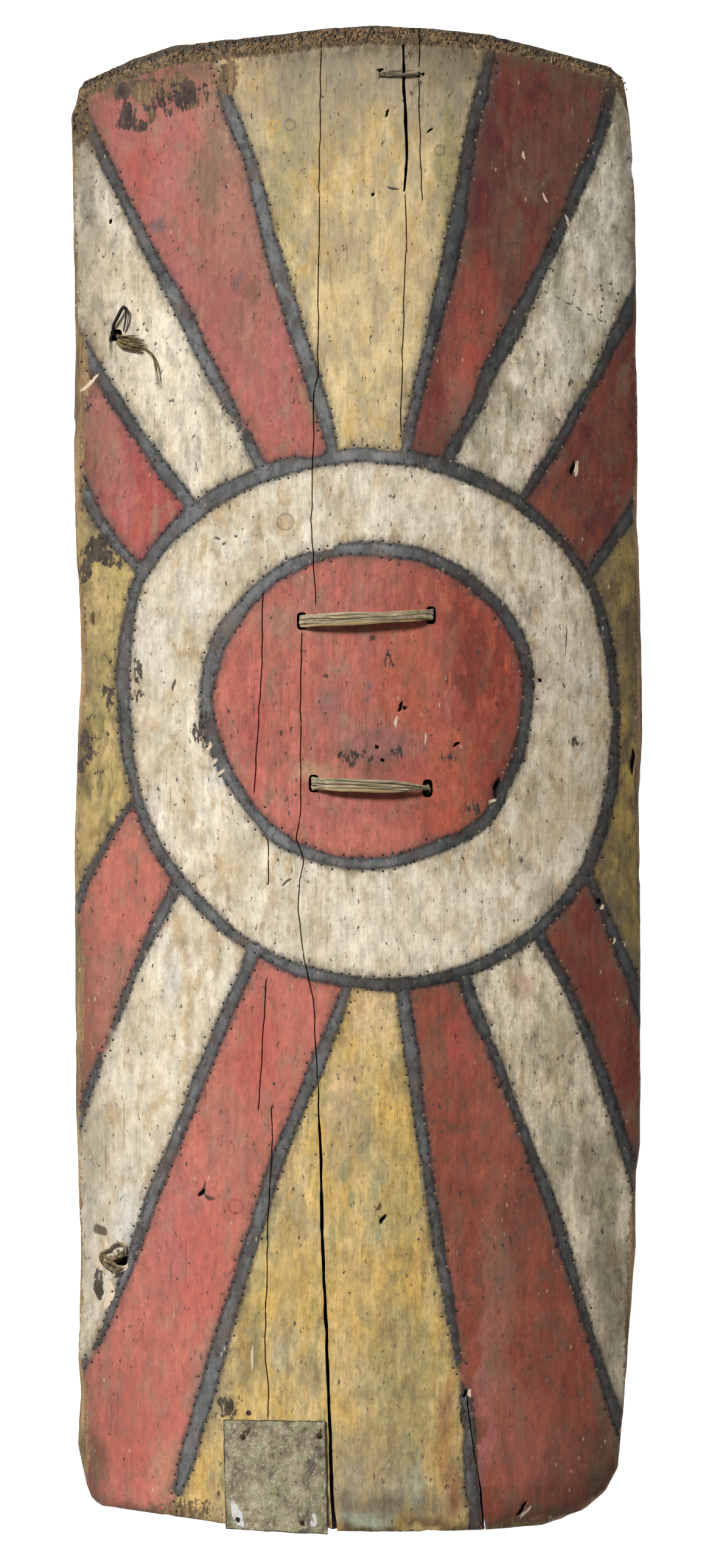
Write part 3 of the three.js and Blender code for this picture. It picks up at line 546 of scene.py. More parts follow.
class Nodes:
    """Short calls for building one material's nodes."""

    def __init__(self, name):
        self.material = bpy.data.materials.new(name)
        self.material.use_nodes = True
        self.tree = self.material.node_tree
        self.shader = self.tree.nodes["Principled BSDF"]
        self.place = self.tree.nodes.new("ShaderNodeTexCoord").outputs["Object"]

    def put(self, socket, value):
        """Sets a socket to a number, a colour or another node's output."""
        if hasattr(value, "is_output"):
            self.tree.links.new(value, socket)
        elif socket.type == "RGBA":
            socket.default_value = (*value, 1)
        else:
            socket.default_value = value

    def attribute(self, name, output):
        node = self.tree.nodes.new("ShaderNodeAttribute")
        node.attribute_name = name
        return node.outputs[output]

    def value(self, name):
        return self.attribute(name, "Fac")

    def colour(self, name):
        return self.attribute(name, "Color")

    def placed(self, node, per_metre, shift):
        """Gives a texture node the object's own coordinates, scaled and moved."""
        mapping = self.tree.nodes.new("ShaderNodeMapping")
        self.put(mapping.inputs["Vector"], self.place)
        mapping.inputs["Scale"].default_value = per_metre
        mapping.inputs["Location"].default_value = shift
        self.put(node.inputs["Vector"], mapping.outputs["Vector"])
        node.inputs["Scale"].default_value = 1.0

    def noise(self, per_metre, detail=3.0, rough=0.55, shift=0.0, distort=0.0):
        node = self.tree.nodes.new("ShaderNodeTexNoise")
        scale = per_metre if isinstance(per_metre, tuple) else (per_metre,) * 3
        self.placed(node, scale, (shift, shift * 0.7, shift * 0.3))
        node.inputs["Detail"].default_value = detail
        node.inputs["Roughness"].default_value = rough
        node.inputs["Distortion"].default_value = distort
        return node.outputs["Fac"]

    def cells(self, per_metre, shift):
        """Distance from the middles of scattered cells."""
        node = self.tree.nodes.new("ShaderNodeTexVoronoi")
        self.placed(node, per_metre, (shift, shift, 0))
        return node.outputs["Distance"]

    def math(self, kind, a, b=0.0, c=0.0):
        node = self.tree.nodes.new("ShaderNodeMath")
        node.operation = kind
        for socket, value in zip(node.inputs, (a, b, c)):
            self.put(socket, value)
        return node.outputs["Value"]

    def plus(self, a, b):
        return self.math("ADD", a, b)

    def minus(self, a, b):
        return self.math("SUBTRACT", a, b)

    def times(self, a, b):
        return self.math("MULTIPLY", a, b)

    def about(self, noise, reach):
        """A noise as a number that swings about 0 by half the reach."""
        return self.times(self.minus(noise, 0.5), reach)

    def span(self, value, low, high, out_low=0.0, out_high=1.0):
        node = self.tree.nodes.new("ShaderNodeMapRange")
        node.interpolation_type = "SMOOTHSTEP"
        self.put(node.inputs["Value"], value)
        ends = dict(zip(("From Min", "From Max", "To Min", "To Max"), (low, high, out_low, out_high)))
        for socket, number in ends.items():
            node.inputs[socket].default_value = number
        return node.outputs["Result"]

    def mix(self, share, a, b):
        node = self.tree.nodes.new("ShaderNodeMix")
        node.data_type = "RGBA"
        for number, value in ((0, share), (6, a), (7, b)):
            self.put(node.inputs[number], value)
        return node.outputs[2]

    def over(self, colour, tint, value, low, high, most=1.0):
        """Lays a tint over a colour where a value passes from low to high."""
        return self.mix(self.span(value, low, high, 0, most), colour, tint)

    def layers(self, colour, *rows):
        """Lays tints over a colour in turn: each as red, green and blue, then what over() takes."""
        for red, green, blue, *how in rows:
            colour = self.over(colour, srgb(red, green, blue), *how)
        return colour

    def total(self, *parts):
        """The sum of values, each times its share."""
        found, *rest = [self.times(value, share) for value, share in parts]
        for part in rest:
            found = self.plus(found, part)
        return found

    def scale(self, colour, value):
        node = self.tree.nodes.new("ShaderNodeVectorMath")
        node.operation = "SCALE"
        self.put(node.inputs[0], colour)
        self.put(node.inputs["Scale"], value)
        return node.outputs["Vector"]

    def bump(self, height, distance, strength):
        node = self.tree.nodes.new("ShaderNodeBump")
        self.put(node.inputs["Height"], height)
        node.inputs["Distance"].default_value = distance
        node.inputs["Strength"].default_value = strength
        return node.outputs["Normal"]

    def finish(self, colour, rough, normal=None, metal=None, shine=0.3):
        self.put(self.shader.inputs["Base Color"], colour)
        self.put(self.shader.inputs["Roughness"], rough)
        self.shader.inputs["Specular IOR Level"].default_value = shine
        for socket, value in (("Normal", normal), ("Metallic", metal)):
            if value is not None:
                self.put(self.shader.inputs[socket], value)
        return self.material


def face_noises(n):
    """The noises and values that the layers of the painted face share."""
    return SimpleNamespace(
        streak=n.noise((240, 17, 60), 6, 0.62),
        fine_streak=n.noise((1100, 75, 200), 3, 0.6, 3),
        cloud=n.noise((36, 17, 30), 5, 0.6, 7, 0.35),
        rub=n.noise((68, 32, 60), 5, 0.64, 17, 0.35),
        dab=n.noise((135, 62, 100), 5, 0.66, 23, 0.5),
        sliver=n.noise((270, 110, 200), 4, 0.7, 91, 0.3),
        fleck=n.noise((280, 190, 200), 4, 0.65, 11),
        speck=n.noise((900, 620, 900), 2, 0.6, 13),
        # The grime value is dirt, with painted shade along the sides
        dirt=n.value("grime_and_edge_shade"),
        wear=n.value("wear"),
        busy=n.value("busy"),
    )


def brushed_paint(n, g):
    """Each field's paint, clouded, rubbed and unevenly brushed."""
    cover = n.span(g.busy, 0.5, 1.0, 0.45, 1.0)
    clouded = n.times(n.span(g.cloud, 0.4, 0.62, 0, 0.85), cover)
    rubbed = n.times(n.span(g.rub, 0.5, 0.67, 0, 0.8), cover)
    colour = n.mix(clouded, n.colour("paint"), n.colour("cloud"))
    colour = n.mix(rubbed, colour, n.colour("rubbed"))
    uneven = n.plus(n.span(g.dab, 0.3, 0.7, -0.17, 0.13), n.span(g.fleck, 0.3, 0.7, -0.09, 0.07))
    uneven = n.plus(uneven, n.span(g.streak, 0.28, 0.72, -0.08, 0.07))
    brush = n.noise((140, 24, 60), 5, 0.6, 93, 0.2)
    uneven = n.plus(uneven, n.span(brush, 0.36, 0.64, -0.05, 0.06))
    uneven = n.plus(uneven, n.span(g.fine_streak, 0.22, 0.78, -0.05, 0.04))
    return n.scale(colour, n.math("MULTIPLY_ADD", uneven, g.busy, 1.0))


def smudged(n, colour, dirt):
    """Smudges of three sizes, where the face is dirty and where shade is painted along its sides."""
    for noise, low, most, tint in (
        (((42, 20, 34), 5, 0.66, 21, 0.3), 0.5, 0.62, srgb(112, 100, 80)),
        (((105, 50, 70), 5, 0.68, 31, 0.3), 0.55, 0.6, srgb(98, 86, 68)),
        (((240, 110, 150), 5, 0.72, 37, 0.3), 0.57, 0.35, srgb(104, 88, 68)),
    ):
        smudge = n.times(n.span(n.noise(*noise), low, 0.68), dirt)
        colour = n.mix(n.times(smudge, most), colour, tint)
    return colour


def lined(n, g, colour):
    """The charcoal lines, worn at their edges, with a smoky halo."""
    line_edge = n.value("line_edge")
    worn_edge = n.plus(line_edge, n.plus(n.about(g.fleck, 5.2), n.about(g.sliver, 4.2)))
    line = n.span(worn_edge, 2.6, -2.2)
    slate = n.mix(n.span(worn_edge, -0.8, -5.0), LINE_DARK, LINE_PALE)
    slate = n.scale(slate, n.span(n.noise((60, 36, 50), 5, 0.65, 43, 0.3), 0.35, 0.65, 1.4, 0.66))
    slate = n.layers(
        slate,
        (96, 78, 66, n.noise((34, 28, 30), 4, 0.6, 45), 0.5, 0.66, 0.5),
        (124, 114, 104, n.noise((300, 130, 300), 4, 0.7, 41), 0.57, 0.7, 0.45),
        (44, 42, 44, n.noise((160, 110, 150), 4, 0.7, 47), 0.56, 0.66, 0.6),
    )
    slate = n.scale(slate, n.value("line_tone"))
    colour = n.mix(n.times(line, n.span(g.sliver, 0.7, 0.57, 0.6, 0.98)), colour, slate)
    halo = n.times(n.span(worn_edge, 9.0, 0.0), n.span(g.sliver, 0.38, 0.64, 0.1, 0.6))
    return n.mix(n.times(halo, n.minus(1.0, line)), colour, srgb(88, 79, 70))


def specked(n, colour, size, shift, edge, mask, most, tint):
    """Scattered specks of one tint, in patches."""
    near = n.cells(size, shift)
    mark = n.times(n.span(near, *edge), n.span(n.noise(*mask[:4]), *mask[4:]))
    return n.mix(n.times(mark, most), colour, tint)


def beaten_band(n, g, colour):
    """The bare beaten band along the top end, with painted shade on its crest, and dirt and painted shade
    below it.
    """
    # Dirt and painted shade below the band
    below = n.times(n.span(n.value("band"), -22.0, -1.0, 0, 0.75), n.span(g.dab, 0.38, 0.6))
    colour = n.mix(below, colour, srgb(92, 78, 58))
    band = n.plus(n.value("band"), n.about(g.fleck, 9.0))
    bark = n.layers(
        srgb(64, 53, 39),
        (134, 107, 74, n.noise((330, 200, 300), 4, 0.66, 81, 0.8), 0.4, 0.62),
        (92, 78, 56, n.noise((30, 44, 34), 4, 0.6, 83), 0.44, 0.62, 0.7),
        (46, 39, 31, n.noise((430, 240, 600), 3, 0.7, 85), 0.52, 0.64, 0.85),
        (182, 148, 98, n.noise((300, 190, 600), 3, 0.7, 87), 0.6, 0.7, 0.8),
    )
    colour = n.mix(n.span(band, -1.6, 1.6), colour, bark)
    # Painted shade on the crest of the top end
    crest = n.plus(n.value("crest"), n.about(g.fleck, 5.0))
    crest_shade = n.span(crest, -1.4, 1.8, 0, 0.92)
    return n.mix(crest_shade, colour, n.mix(g.speck, srgb(42, 38, 34), srgb(74, 66, 56)))


def painted_face():
    """Earth paint, brushed on hewn wood, worn, stained and cracked along the grain."""
    n = Nodes("painted_face")
    g = face_noises(n)
    colour = brushed_paint(n, g)
    dirt = n.times(g.dirt, g.busy)
    colour = lined(n, g, smudged(n, colour, dirt))
    blot = n.span(n.plus(n.value("blot"), n.about(g.sliver, 3.6)), 0.46, 0.6, 0, 0.94)
    colour = n.mix(blot, colour, n.over(SOOT, srgb(78, 66, 58), g.dab, 0.4, 0.6))
    lost = n.span(n.plus(g.wear, n.about(g.fleck, 1.6)), 0.55, 0.7)
    wood = n.layers(UMBER, (168, 138, 98, g.streak, 0.32, 0.68), (78, 62, 44, g.speck, 0.42, 0.62, 0.5))
    colour = n.mix(lost, colour, wood)
    hair = n.times(n.span(n.noise((520, 14, 100), 5, 0.6, 51), 0.66, 0.72), n.span(g.cloud, 0.4, 0.6))
    colour = n.mix(n.times(hair, 0.55), colour, srgb(72, 56, 42))
    dark_patches, pale_patches = (30, 2, 0.5, 61, 0.62, 0.7), (24, 2, 0.5, 63, 0.53, 0.62)
    colour = specked(n, colour, (100, 62, 95), 5, (0.12, 0.06), dark_patches, 0.65, srgb(58, 44, 36))
    colour = specked(n, colour, (120, 50, 95), 15, (0.13, 0.07), pale_patches, 0.6, srgb(206, 182, 156))
    chalk = n.span(n.noise((330, 110, 300), 4, 0.72, 71), 0.64, 0.73, 0, 0.5)
    colour = beaten_band(n, g, n.mix(n.times(chalk, dirt), colour, srgb(212, 196, 168)))
    colour = n.over(colour, srgb(212, 190, 162), n.value("chip"), 0.25, 0.6)
    # The dark marks are dark spots, and also painted shade in and round the small holes
    colour = n.over(colour, srgb(64, 50, 38), n.value("dark"), 0.15, 0.75, 0.85)
    # Painted shade: the pits and small holes are coloured near black for the shade inside them
    pit_tone = n.mix(n.value("pit_pale"), srgb(30, 27, 27), srgb(150, 128, 98))
    colour = n.over(colour, pit_tone, n.value("pit"), 0.2, 0.55)
    # Painted shade: the grooves of the closed cracks are coloured near black
    colour = n.over(colour, srgb(40, 26, 17), n.value("groove"), 0.12, 0.8)
    height = n.total((g.streak, 0.7), (g.fleck, 0.4), (g.fine_streak, 0.25), (g.cloud, 0.8))
    height = n.minus(n.minus(height, n.times(lost, 0.35)), n.times(hair, 0.5))
    return n.finish(colour, n.span(g.fleck, 0.3, 0.7, 0.7, 0.9), n.bump(height, 0.0008, 0.9))


def hewn_wood(name="hewn_wood", dark=srgb(74, 56, 38), pale=srgb(146, 116, 80)):
    """Bare aged wood with long grain, for the back and the edges; in dark tones, painted shade on the walls
    of holes and cracks.
    """
    n = Nodes(name)
    grain = n.noise((260, 9, 200), 6, 0.62, 2)
    fine = n.noise((1100, 30, 900), 4, 0.6, 5)
    cloud = n.noise((11, 7, 11), 4, 0.6, 9)
    colour = n.over(dark, pale, grain, 0.3, 0.7)
    colour = n.scale(colour, n.span(cloud, 0.3, 0.7, 0.75, 1.15))
    colour = n.scale(colour, n.span(fine, 0.25, 0.75, 0.85, 1.12))
    colour = n.over(colour, srgb(52, 42, 33), n.noise((18, 9, 18), 5, 0.65, 15), 0.5, 0.75, 0.6)
    height = n.total((grain, 0.7), (fine, 0.3))
    return n.finish(colour, n.span(fine, 0.3, 0.7, 0.7, 0.9), n.bump(height, 0.0008, 0.9))


def cane_material():
    """Split cane gone grey, with tan strands and pale rubbed skin."""
    n = Nodes("split_cane")
    along = n.noise((26, 900, 900), 4, 0.6, 3)
    patch = n.noise((60, 160, 160), 3, 0.6, 8)
    colour = n.layers(
        srgb(104, 90, 64),
        (184, 168, 134, along, 0.34, 0.66),
        (184, 146, 92, n.value("strand"), 0.55, 0.95, 0.6),
        (126, 122, 98, patch, 0.52, 0.7, 0.6),
        (206, 196, 170, patch, 0.46, 0.32, 0.3),
    )
    rough = n.span(along, 0.3, 0.7, 0.45, 0.65)
    return n.finish(colour, rough, n.bump(along, 0.0006, 0.9), shine=0.4)


def fibre_material(name, dark, pale):
    """Dry plant fibre, each strand with a tone of its own."""
    n = Nodes(name)
    colour = n.over(dark, pale, n.noise(200, 4, 0.65, 3), 0.3, 0.7)
    return n.finish(n.scale(colour, n.span(n.value("strand"), 0, 1, 0.6, 1.3)), 0.8, shine=0.25)


def sheet_material():
    """Thin weathered sheet with stains, old paint and rust freckles, painted highlights of bare zinc, and
    painted shade along its edges and in its torn slots.
    """
    n = Nodes("weathered_sheet")
    cloud = n.noise((56, 30, 60), 5, 0.7, 23, 0.4)
    fleck = n.noise((330, 260, 330), 5, 0.75, 9)
    grit = n.noise((150, 110, 150), 5, 0.75, 19, 0.6)
    colour = n.layers(
        srgb(126, 114, 90),
        (166, 154, 124, n.noise(42, 5, 0.7, 3, 0.4), 0.4, 0.6),
        (140, 144, 108, n.noise(60, 5, 0.7, 33), 0.48, 0.6, 0.8),
        (104, 94, 86, cloud, 0.52, 0.64, 0.85),
        (86, 70, 54, grit, 0.56, 0.64, 0.75),
        (196, 184, 156, grit, 0.43, 0.36, 0.7),
        (206, 198, 182, fleck, 0.56, 0.64, 0.75),
        (80, 66, 50, fleck, 0.43, 0.35, 0.75),
        # Painted highlights of bare zinc
        (216, 212, 210, n.plus(n.value("glint"), n.about(grit, 2.4)), 0.5, 0.75, 0.9),
        # Painted shade along the sheet's edges and in its torn slots
        (62, 48, 36, n.plus(n.value("edge"), n.about(grit, 1.6)), 0.35, 0.8, 0.85),
    )
    metal = n.span(cloud, 0.45, 0.6, 0.05, 0.3)
    rough = n.span(fleck, 0.3, 0.7, 0.5, 0.8)
    return n.finish(colour, rough, n.bump(grit, 0.0006, 0.8), metal, 0.35)


def iron_material():
    """Rusted hand-made iron."""
    n = Nodes("rusted_iron")
    cloud = n.noise(500, 4, 0.7)
    colour = n.over(srgb(40, 32, 28), srgb(92, 62, 44), cloud, 0.35, 0.65)
    return n.finish(colour, 0.75, n.bump(cloud, 0.0005, 0.8), 0.4, 0.4)


CANE = cane_material()
FIBRE = fibre_material("dry_fibre", srgb(72, 62, 38), srgb(132, 116, 76))
KNOT_FIBRE = fibre_material("knot_fibre", srgb(78, 62, 42), srgb(158, 142, 108))
TOP_FIBRE = fibre_material("top_fibre", srgb(112, 82, 50), srgb(178, 140, 92))
DARK_FIBRE = fibre_material("dark_fibre", srgb(26, 22, 20), srgb(58, 48, 38))
VINE = fibre_material("dry_vine", srgb(84, 74, 58), srgb(134, 122, 98))
IRON = iron_material()


# The plank

def inside_polygon(x, y, polygon):
    """Whether each point lies in the polygon."""
    found = np.zeros(len(x), bool)
    px, py = polygon[:, 0], polygon[:, 1]
    for x0, y0, x1, y1 in zip(px, py, np.roll(px, -1), np.roll(py, -1)):
        if y0 == y1:
            continue
        crosses = (y0 > y) != (y1 > y)
        found ^= crosses & (x < (x1 - x0) * (y - y0) / (y1 - y0) + x0)
    return found


def resampled(points, step):
    """Points about a step apart along a line of points."""
    points = np.asarray(points, float)
    run = np.concatenate([[0], np.cumsum(np.linalg.norm(np.diff(points, axis=0), axis=1))])
    at = np.linspace(0, run[-1], max(2, int(round(run[-1] / step)) + 1))
    return np.stack([np.interp(at, run, points[:, k]) for k in range(points.shape[1])], 1)


def joined(loop):
    """A closed line with its first point again at its end."""
    return np.vstack([loop, loop[:1]])


def normals_of(points, closed=False):
    """The unit left-hand normal at each point of a plan line."""
    ahead = np.roll(points, -1, 0) - np.roll(points, 1, 0)
    if not closed:
        ahead[0], ahead[-1] = points[1] - points[0], points[-1] - points[-2]
    ahead /= np.linalg.norm(ahead, axis=1, keepdims=True)
    return np.stack([-ahead[:, 1], ahead[:, 0]], 1)


def outline():
    """The plank's plan outline, a little ragged, always inside the solid's."""
    s, t = np.linspace(0, 1, 190), np.linspace(0, 1, 340)
    foot, right = plan_point(s, s * 0), plan_point(t * 0 + 1, t)
    top, left = plan_point(s[::-1], s * 0 + 1), plan_point(t * 0, t[::-1])
    points = np.concatenate([np.stack(side, 1)[:-1] for side in (foot, right, top, left)])
    x, y = points.T
    cut = 0.5 * (1 + soft_noise(x, y, 14, 14, 5)) * RAGGED
    cut += 0.5 * (1 + soft_noise(x, y, 4, 4, 6)) * RAGGED * 0.6
    cut += 2.2 * np.clip(soft_noise(x, y, 22, 30, 7) - 0.55, 0, 1) / 0.45
    return points + normals_of(points, True) * cut[:, None]


def crack_outline(crack, seed):
    """A long thin hole that follows a crack, wandering a little."""
    x, y, width = resampled(crack, 7).T
    x = x + 0.5 * soft_noise(y, x * 0, 16, 1, seed)
    half = width / 2 * (1 + 0.25 * soft_noise(y, x * 0, 9, 1, seed + 1))
    return np.concatenate([np.stack([x - half, y], 1), np.stack([x + half, y], 1)[::-1]])


def slot_outline(place, size):
    """A rounded slot."""
    turn = np.linspace(0, 2 * math.pi, 21)[:-1]
    ways = np.stack([np.cos(turn), np.sin(turn)], 1)
    return place + np.sign(ways) * np.abs(ways) ** 0.6 * size / 2


def openings():
    """The outlines of every hole in the plank: open cracks, then the loops', ties' and stitch's."""
    holes = [crack_outline(crack, 40 + i) for i, crack in enumerate(OPEN_CRACKS)]
    for (x0, y0), (x1, y1) in (UPPER_LOOP["ends"], LOWER_LOOP["ends"]):
        holes += [slot_outline((x0 + 1.2, y0), LOOP_HOLE), slot_outline((x1 - 1.2, y1), LOOP_HOLE)]
    holes += [slot_outline(place, np.full(2, 2 * TIE_HOLE_RADIUS)) for place in (UPPER_TIE, LOWER_TIE)]
    return holes + [slot_outline(place, STITCH_HOLE) for place in STITCH["ends"]]


def smoothed(rows, passes, closed=False):
    """Each row eased towards its neighbours, a number of times."""
    for _ in range(passes):
        if closed:
            rows = (np.roll(rows, 1, 0) + rows * 2 + np.roll(rows, -1, 0)) / 4
        else:
            rows[1:-1] = (rows[:-2] + rows[1:-1] * 2 + rows[2:]) / 4
    return rows


def wandered(rows, cell, seed, closed=False):
    """The line of x, y and width moved sideways a little by noise."""
    shift = 0.7 * soft_noise(rows[:, 0], rows[:, 1], cell, cell, seed)
    rows[:, :2] += normals_of(rows[:, :2], closed) * shift[:, None]
    return rows


def round_line(centre, table, count, seed):
    """The middle of a closed painted line: x, y and width, wandering a little."""
    turn = np.linspace(0, 360, count, endpoint=False)
    radius, width = (np.interp(turn, np.array(table)[:, 0], np.array(table)[:, k]) for k in (1, 2))
    way = np.radians(turn)
    rows = np.column_stack([centre[0] + np.cos(way) * radius, centre[1] + np.sin(way) * radius, width])
    return wandered(smoothed(rows, 3, closed=True), 30, seed, True)


def bearing_of(away):
    """The bearing of each row of x and y, 0 to 360 degrees."""
    return np.degrees(np.arctan2(away[:, 1], away[:, 0])) % 360


def ring_reach(points):
    """How far out each point lies, 1 on the ring's line."""
    away = points[:, :2] - RING_CENTRE
    return np.linalg.norm(away, axis=1) / stations(RING_LINE, bearing_of(away))


def ray_lines():
    """Each ray's middle line, started on the ring: x, y and width, wandering a little."""
    lines = []
    for i, rows in enumerate(RAYS):
        rows = np.array(rows, float)
        rows[0, :2] = RING_CENTRE + (rows[0, :2] - RING_CENTRE) / ring_reach(rows[:1])[0]
        lines.append(wandered(smoothed(resampled(rows, 9), 2), 26, 80 + i))
    return lines


def distance_to(points, line, closed=False):
    """Distance of each point from a line of x and y, and where along it the nearest place is."""
    a = line[:, :2]
    b = np.roll(a, -1, 0)
    if not closed:
        a, b = a[:-1], b[:-1]
    best, where = np.full(len(points), np.inf), np.zeros(len(points))
    for k, (p, q) in enumerate(zip(a, b)):
        along = q - p
        share = np.clip(((points - p) @ along) / (along @ along), 0, 1)
        gap = np.linalg.norm(points - p - share[:, None] * along, axis=1)
        where = np.where(gap < best, k + share, where)
        best = np.minimum(best, gap)
    return best, where


def edge_distance(points, line, closed=False):
    """Distance from the edge of a painted line of x, y and width, less than 0 on the line."""
    gap, where = distance_to(points, line, closed)
    width = np.append(line[:, 2], line[0, 2]) if closed else line[:, 2]
    return gap - np.interp(where, np.arange(len(width)), width) / 2


RING = round_line(RING_CENTRE, RING_LINE, 180, 70)
DISC = round_line(DISC_CENTRE, DISC_LINE, 144, 71)
RAY_LINES = ray_lines()


def regions(points):
    """Which part of the pattern each point lies in: a field's number, RING_PART or DISC_PART."""
    reach = ring_reach(points)
    turns = []
    for line in RAY_LINES:
        out = line[:, :2] - RING_CENTRE
        bearing = np.unwrap(np.arctan2(out[:, 1], out[:, 0]))
        turns.append(np.degrees(np.interp(reach, ring_reach(line), bearing)))
    away = points - RING_CENTRE
    turn = (np.degrees(np.arctan2(away[:, 1], away[:, 0])) - turns[0]) % 360
    field = sum((turn > (ray - turns[0]) % 360).astype(int) for ray in turns[1:])
    on_disc = points - DISC_CENTRE
    in_disc = np.linalg.norm(on_disc, axis=1) < stations(DISC_LINE, bearing_of(on_disc))
    return np.where(in_disc, DISC_PART, np.where(reach < 1, RING_PART, field))


def pattern(points):
    """The field colours at each point, how busy it is, and the distance from the nearest dark line."""
    x, y = points.T
    part = regions(points)
    tones = np.array(FIELDS + [RING_FIELD, DISC_LEFT])[part]
    busy = np.array(FIELD_BUSY + [RING_BUSY, DISC_BUSY])[part]
    drift = x + 30 * soft_noise(x, y, 40, 60, 97)
    right_share = np.clip((drift - DISC_TURN[0]) / (DISC_TURN[1] - DISC_TURN[0]), 0, 1)[:, None, None]
    disc_tones = np.array(DISC_LEFT) * (1 - right_share) + np.array(DISC_RIGHT) * right_share
    tones = np.where((part == DISC_PART)[:, None, None], disc_tones, tones)
    edge = np.minimum(edge_distance(points, RING, True), edge_distance(points, DISC, True))
    outside = ring_reach(points) > 0.97
    for line in RAY_LINES:
        edge = np.minimum(edge, np.where(outside, edge_distance(points, line), np.inf))
    edge = edge + 0.8 * soft_noise(x, y, 20, 20, 95)
    for *place, amount in RUBBED_LINES:
        edge += amount * felt(x, y, *place, top=1.2)
    return tones, busy, edge


def stained(points, tones):
    """Soft stains and repaints over the fields, with wandering edges, and painted shade towards the sides.
    """
    x, y = points.T
    wander_x = x + 9 * soft_noise(x, y, 24, 30, 90) + 4 * soft_noise(x, y, 8, 10, 91)
    wander_y = y + 9 * soft_noise(x, y, 24, 30, 92) + 4 * soft_noise(x, y, 8, 10, 93)
    own = regions(np.array([stain[:2] for stain in STAINS], float))
    here = regions(points)
    for (*place, tint, strength), region in zip(STAINS, own):
        inside = any(tint is dirt for dirt in DIRT) | (here == region)
        share = strength * felt(wander_x, wander_y, *place, top=1.35) * inside
        tones = tones + (tint - tones) * share[:, None, None] * STAIN_SHARES
    for cx, cy, radius, width, tint, strength in RING_STAINS:
        away = np.abs(np.hypot(x - cx, y - cy) - radius) / width
        tones = tones + (tint - tones) * (strength * np.clip(1.3 - away, 0, 1))[:, None, None]
    # Painted shade: the paint is darkened towards both sides
    across = shares_at(x, y)[0] * PLANK_WIDTH + 8 * soft_noise(x, y, 20, 60, 94)
    return tones * np.interp(across, *SIDE_SHADE)[:, None, None]


def mark_values(x, y, kinds):
    """How strongly the marks of these kinds are felt at each point, 1 in their middles."""
    found = np.zeros(len(x))
    for kind, cx, cy, long, wide, way in MARKS:
        if kind not in kinds:
            continue
        way = math.radians(way)
        along = (x - cx) * math.cos(way) + (y - cy) * math.sin(way)
        across = -(x - cx) * math.sin(way) + (y - cy) * math.cos(way)
        bend = across + 0.35 * wide * np.sin(along / long * 3 + cx)
        found = np.maximum(found, np.clip(1.25 - (along / long) ** 2 - (bend / wide) ** 2, 0, 1))
    return found


def local_points():
    """Close points round every small mark and ring stain, so that the mesh can show them."""
    rng = np.random.default_rng(23)
    found = []
    for _, cx, cy, long, wide, way in MARKS:
        step = max(0.75, min(wide * 0.6, 1.6))
        long, wide = long * 1.25 + 1, wide * 1.35 + 1
        a, b = np.meshgrid(np.arange(-long, long + 0.1, step * 1.3), np.arange(-wide, wide + 0.1, step))
        keep = (a / long) ** 2 + (b / wide) ** 2 < 1.1
        a, b = a[keep], b[keep]
        cosine, sine = math.cos(math.radians(way)), math.sin(math.radians(way))
        near = np.stack([cx + a * cosine - b * sine, cy + a * sine + b * cosine], 1)
        found.append(near + rng.uniform(-0.12, 0.12, near.shape) * step)
    for cx, cy, radius, width, *_ in RING_STAINS:
        turn = np.arange(0, 2 * math.pi, 1.6 / radius)
        for share in (-1.3, -0.5, 0.5, 1.3):
            r = radius + width * share
            found.append(np.stack([cx + r * np.cos(turn), cy + r * np.sin(turn)], 1))
    return np.concatenate(found)


def pit_places():
    """The pricked dots on both edges of every dark line: x, y, and whether it is pale."""
    found = []
    rng = np.random.default_rng(11)
    for line, closed in [(line, False) for line in RAY_LINES] + [(joined(RING), True), (joined(DISC), True)]:
        for side in (-1, 1):
            row = resampled(line, PIT_SPACING)
            across = normals_of(row[:, :2])
            offset = side * (row[:, 2] / 2 - 0.6 + rng.normal(0, 0.7, len(row)))
            row = row[:, :2] + across * offset[:, None] + rng.normal(0, 1.2, (len(row), 2))
            row = row[rng.random(len(row)) > 0.14]
            keep = row if closed else row[ring_reach(row) > 1.05]
            keep = keep[(keep[:, 0] < 90) | (rng.random(len(keep)) < 0.6)]
            pale = (keep[:, 0] > 60) & (rng.random(len(keep)) < 0.3)
            found.append(np.column_stack([keep, pale]))
    return np.concatenate(found)


class Room:
    """Which small cells of the plan are taken, so that mesh points don't crowd."""

    def __init__(self):
        self.taken = np.zeros((2 * ROOM_HALF / ROOM_CELL).astype(int), bool)

    def at(self, points):
        """The cells that the points lie in, kept off the very edge."""
        cells = (points + ROOM_HALF) / ROOM_CELL
        return cells.astype(int).clip(2, np.array(self.taken.shape) - 3).T

    def take(self, points, reach):
        """Takes the cells that lie up to a number of cells from the points."""
        i, j = self.at(points)
        last_i, last_j = np.array(self.taken.shape) - 1
        for di in range(-reach, reach + 1):
            for dj in range(-reach, reach + 1):
                self.taken[(i + di).clip(0, last_i), (j + dj).clip(0, last_j)] = True

    def take_loop(self, loop, step, reach):
        self.take(resampled(joined(loop), step), reach)

    def free(self, points):
        return ~self.taken[tuple(self.at(points))]


# Kinds of mesh points on the face. Plain ones are 0 and 1
KIND_PIT, KIND_PALE_PIT, KIND_PIT_RIM, KIND_PALE_RIM, KIND_GROOVE, KIND_GROOVE_SIDE = range(10, 16)


def jittered(step, seed):
    """An uneven grid of points over the whole plank."""
    rng = np.random.default_rng(seed)
    x, y = np.meshgrid(np.arange(-272, 272, step), np.arange(-704, 706, step * 0.9))
    x = x + (np.arange(len(x)) % 2)[:, None] * step / 2
    points = np.stack([x.ravel(), y.ravel()], 1)
    return points + rng.uniform(-0.22, 0.22, points.shape) * step


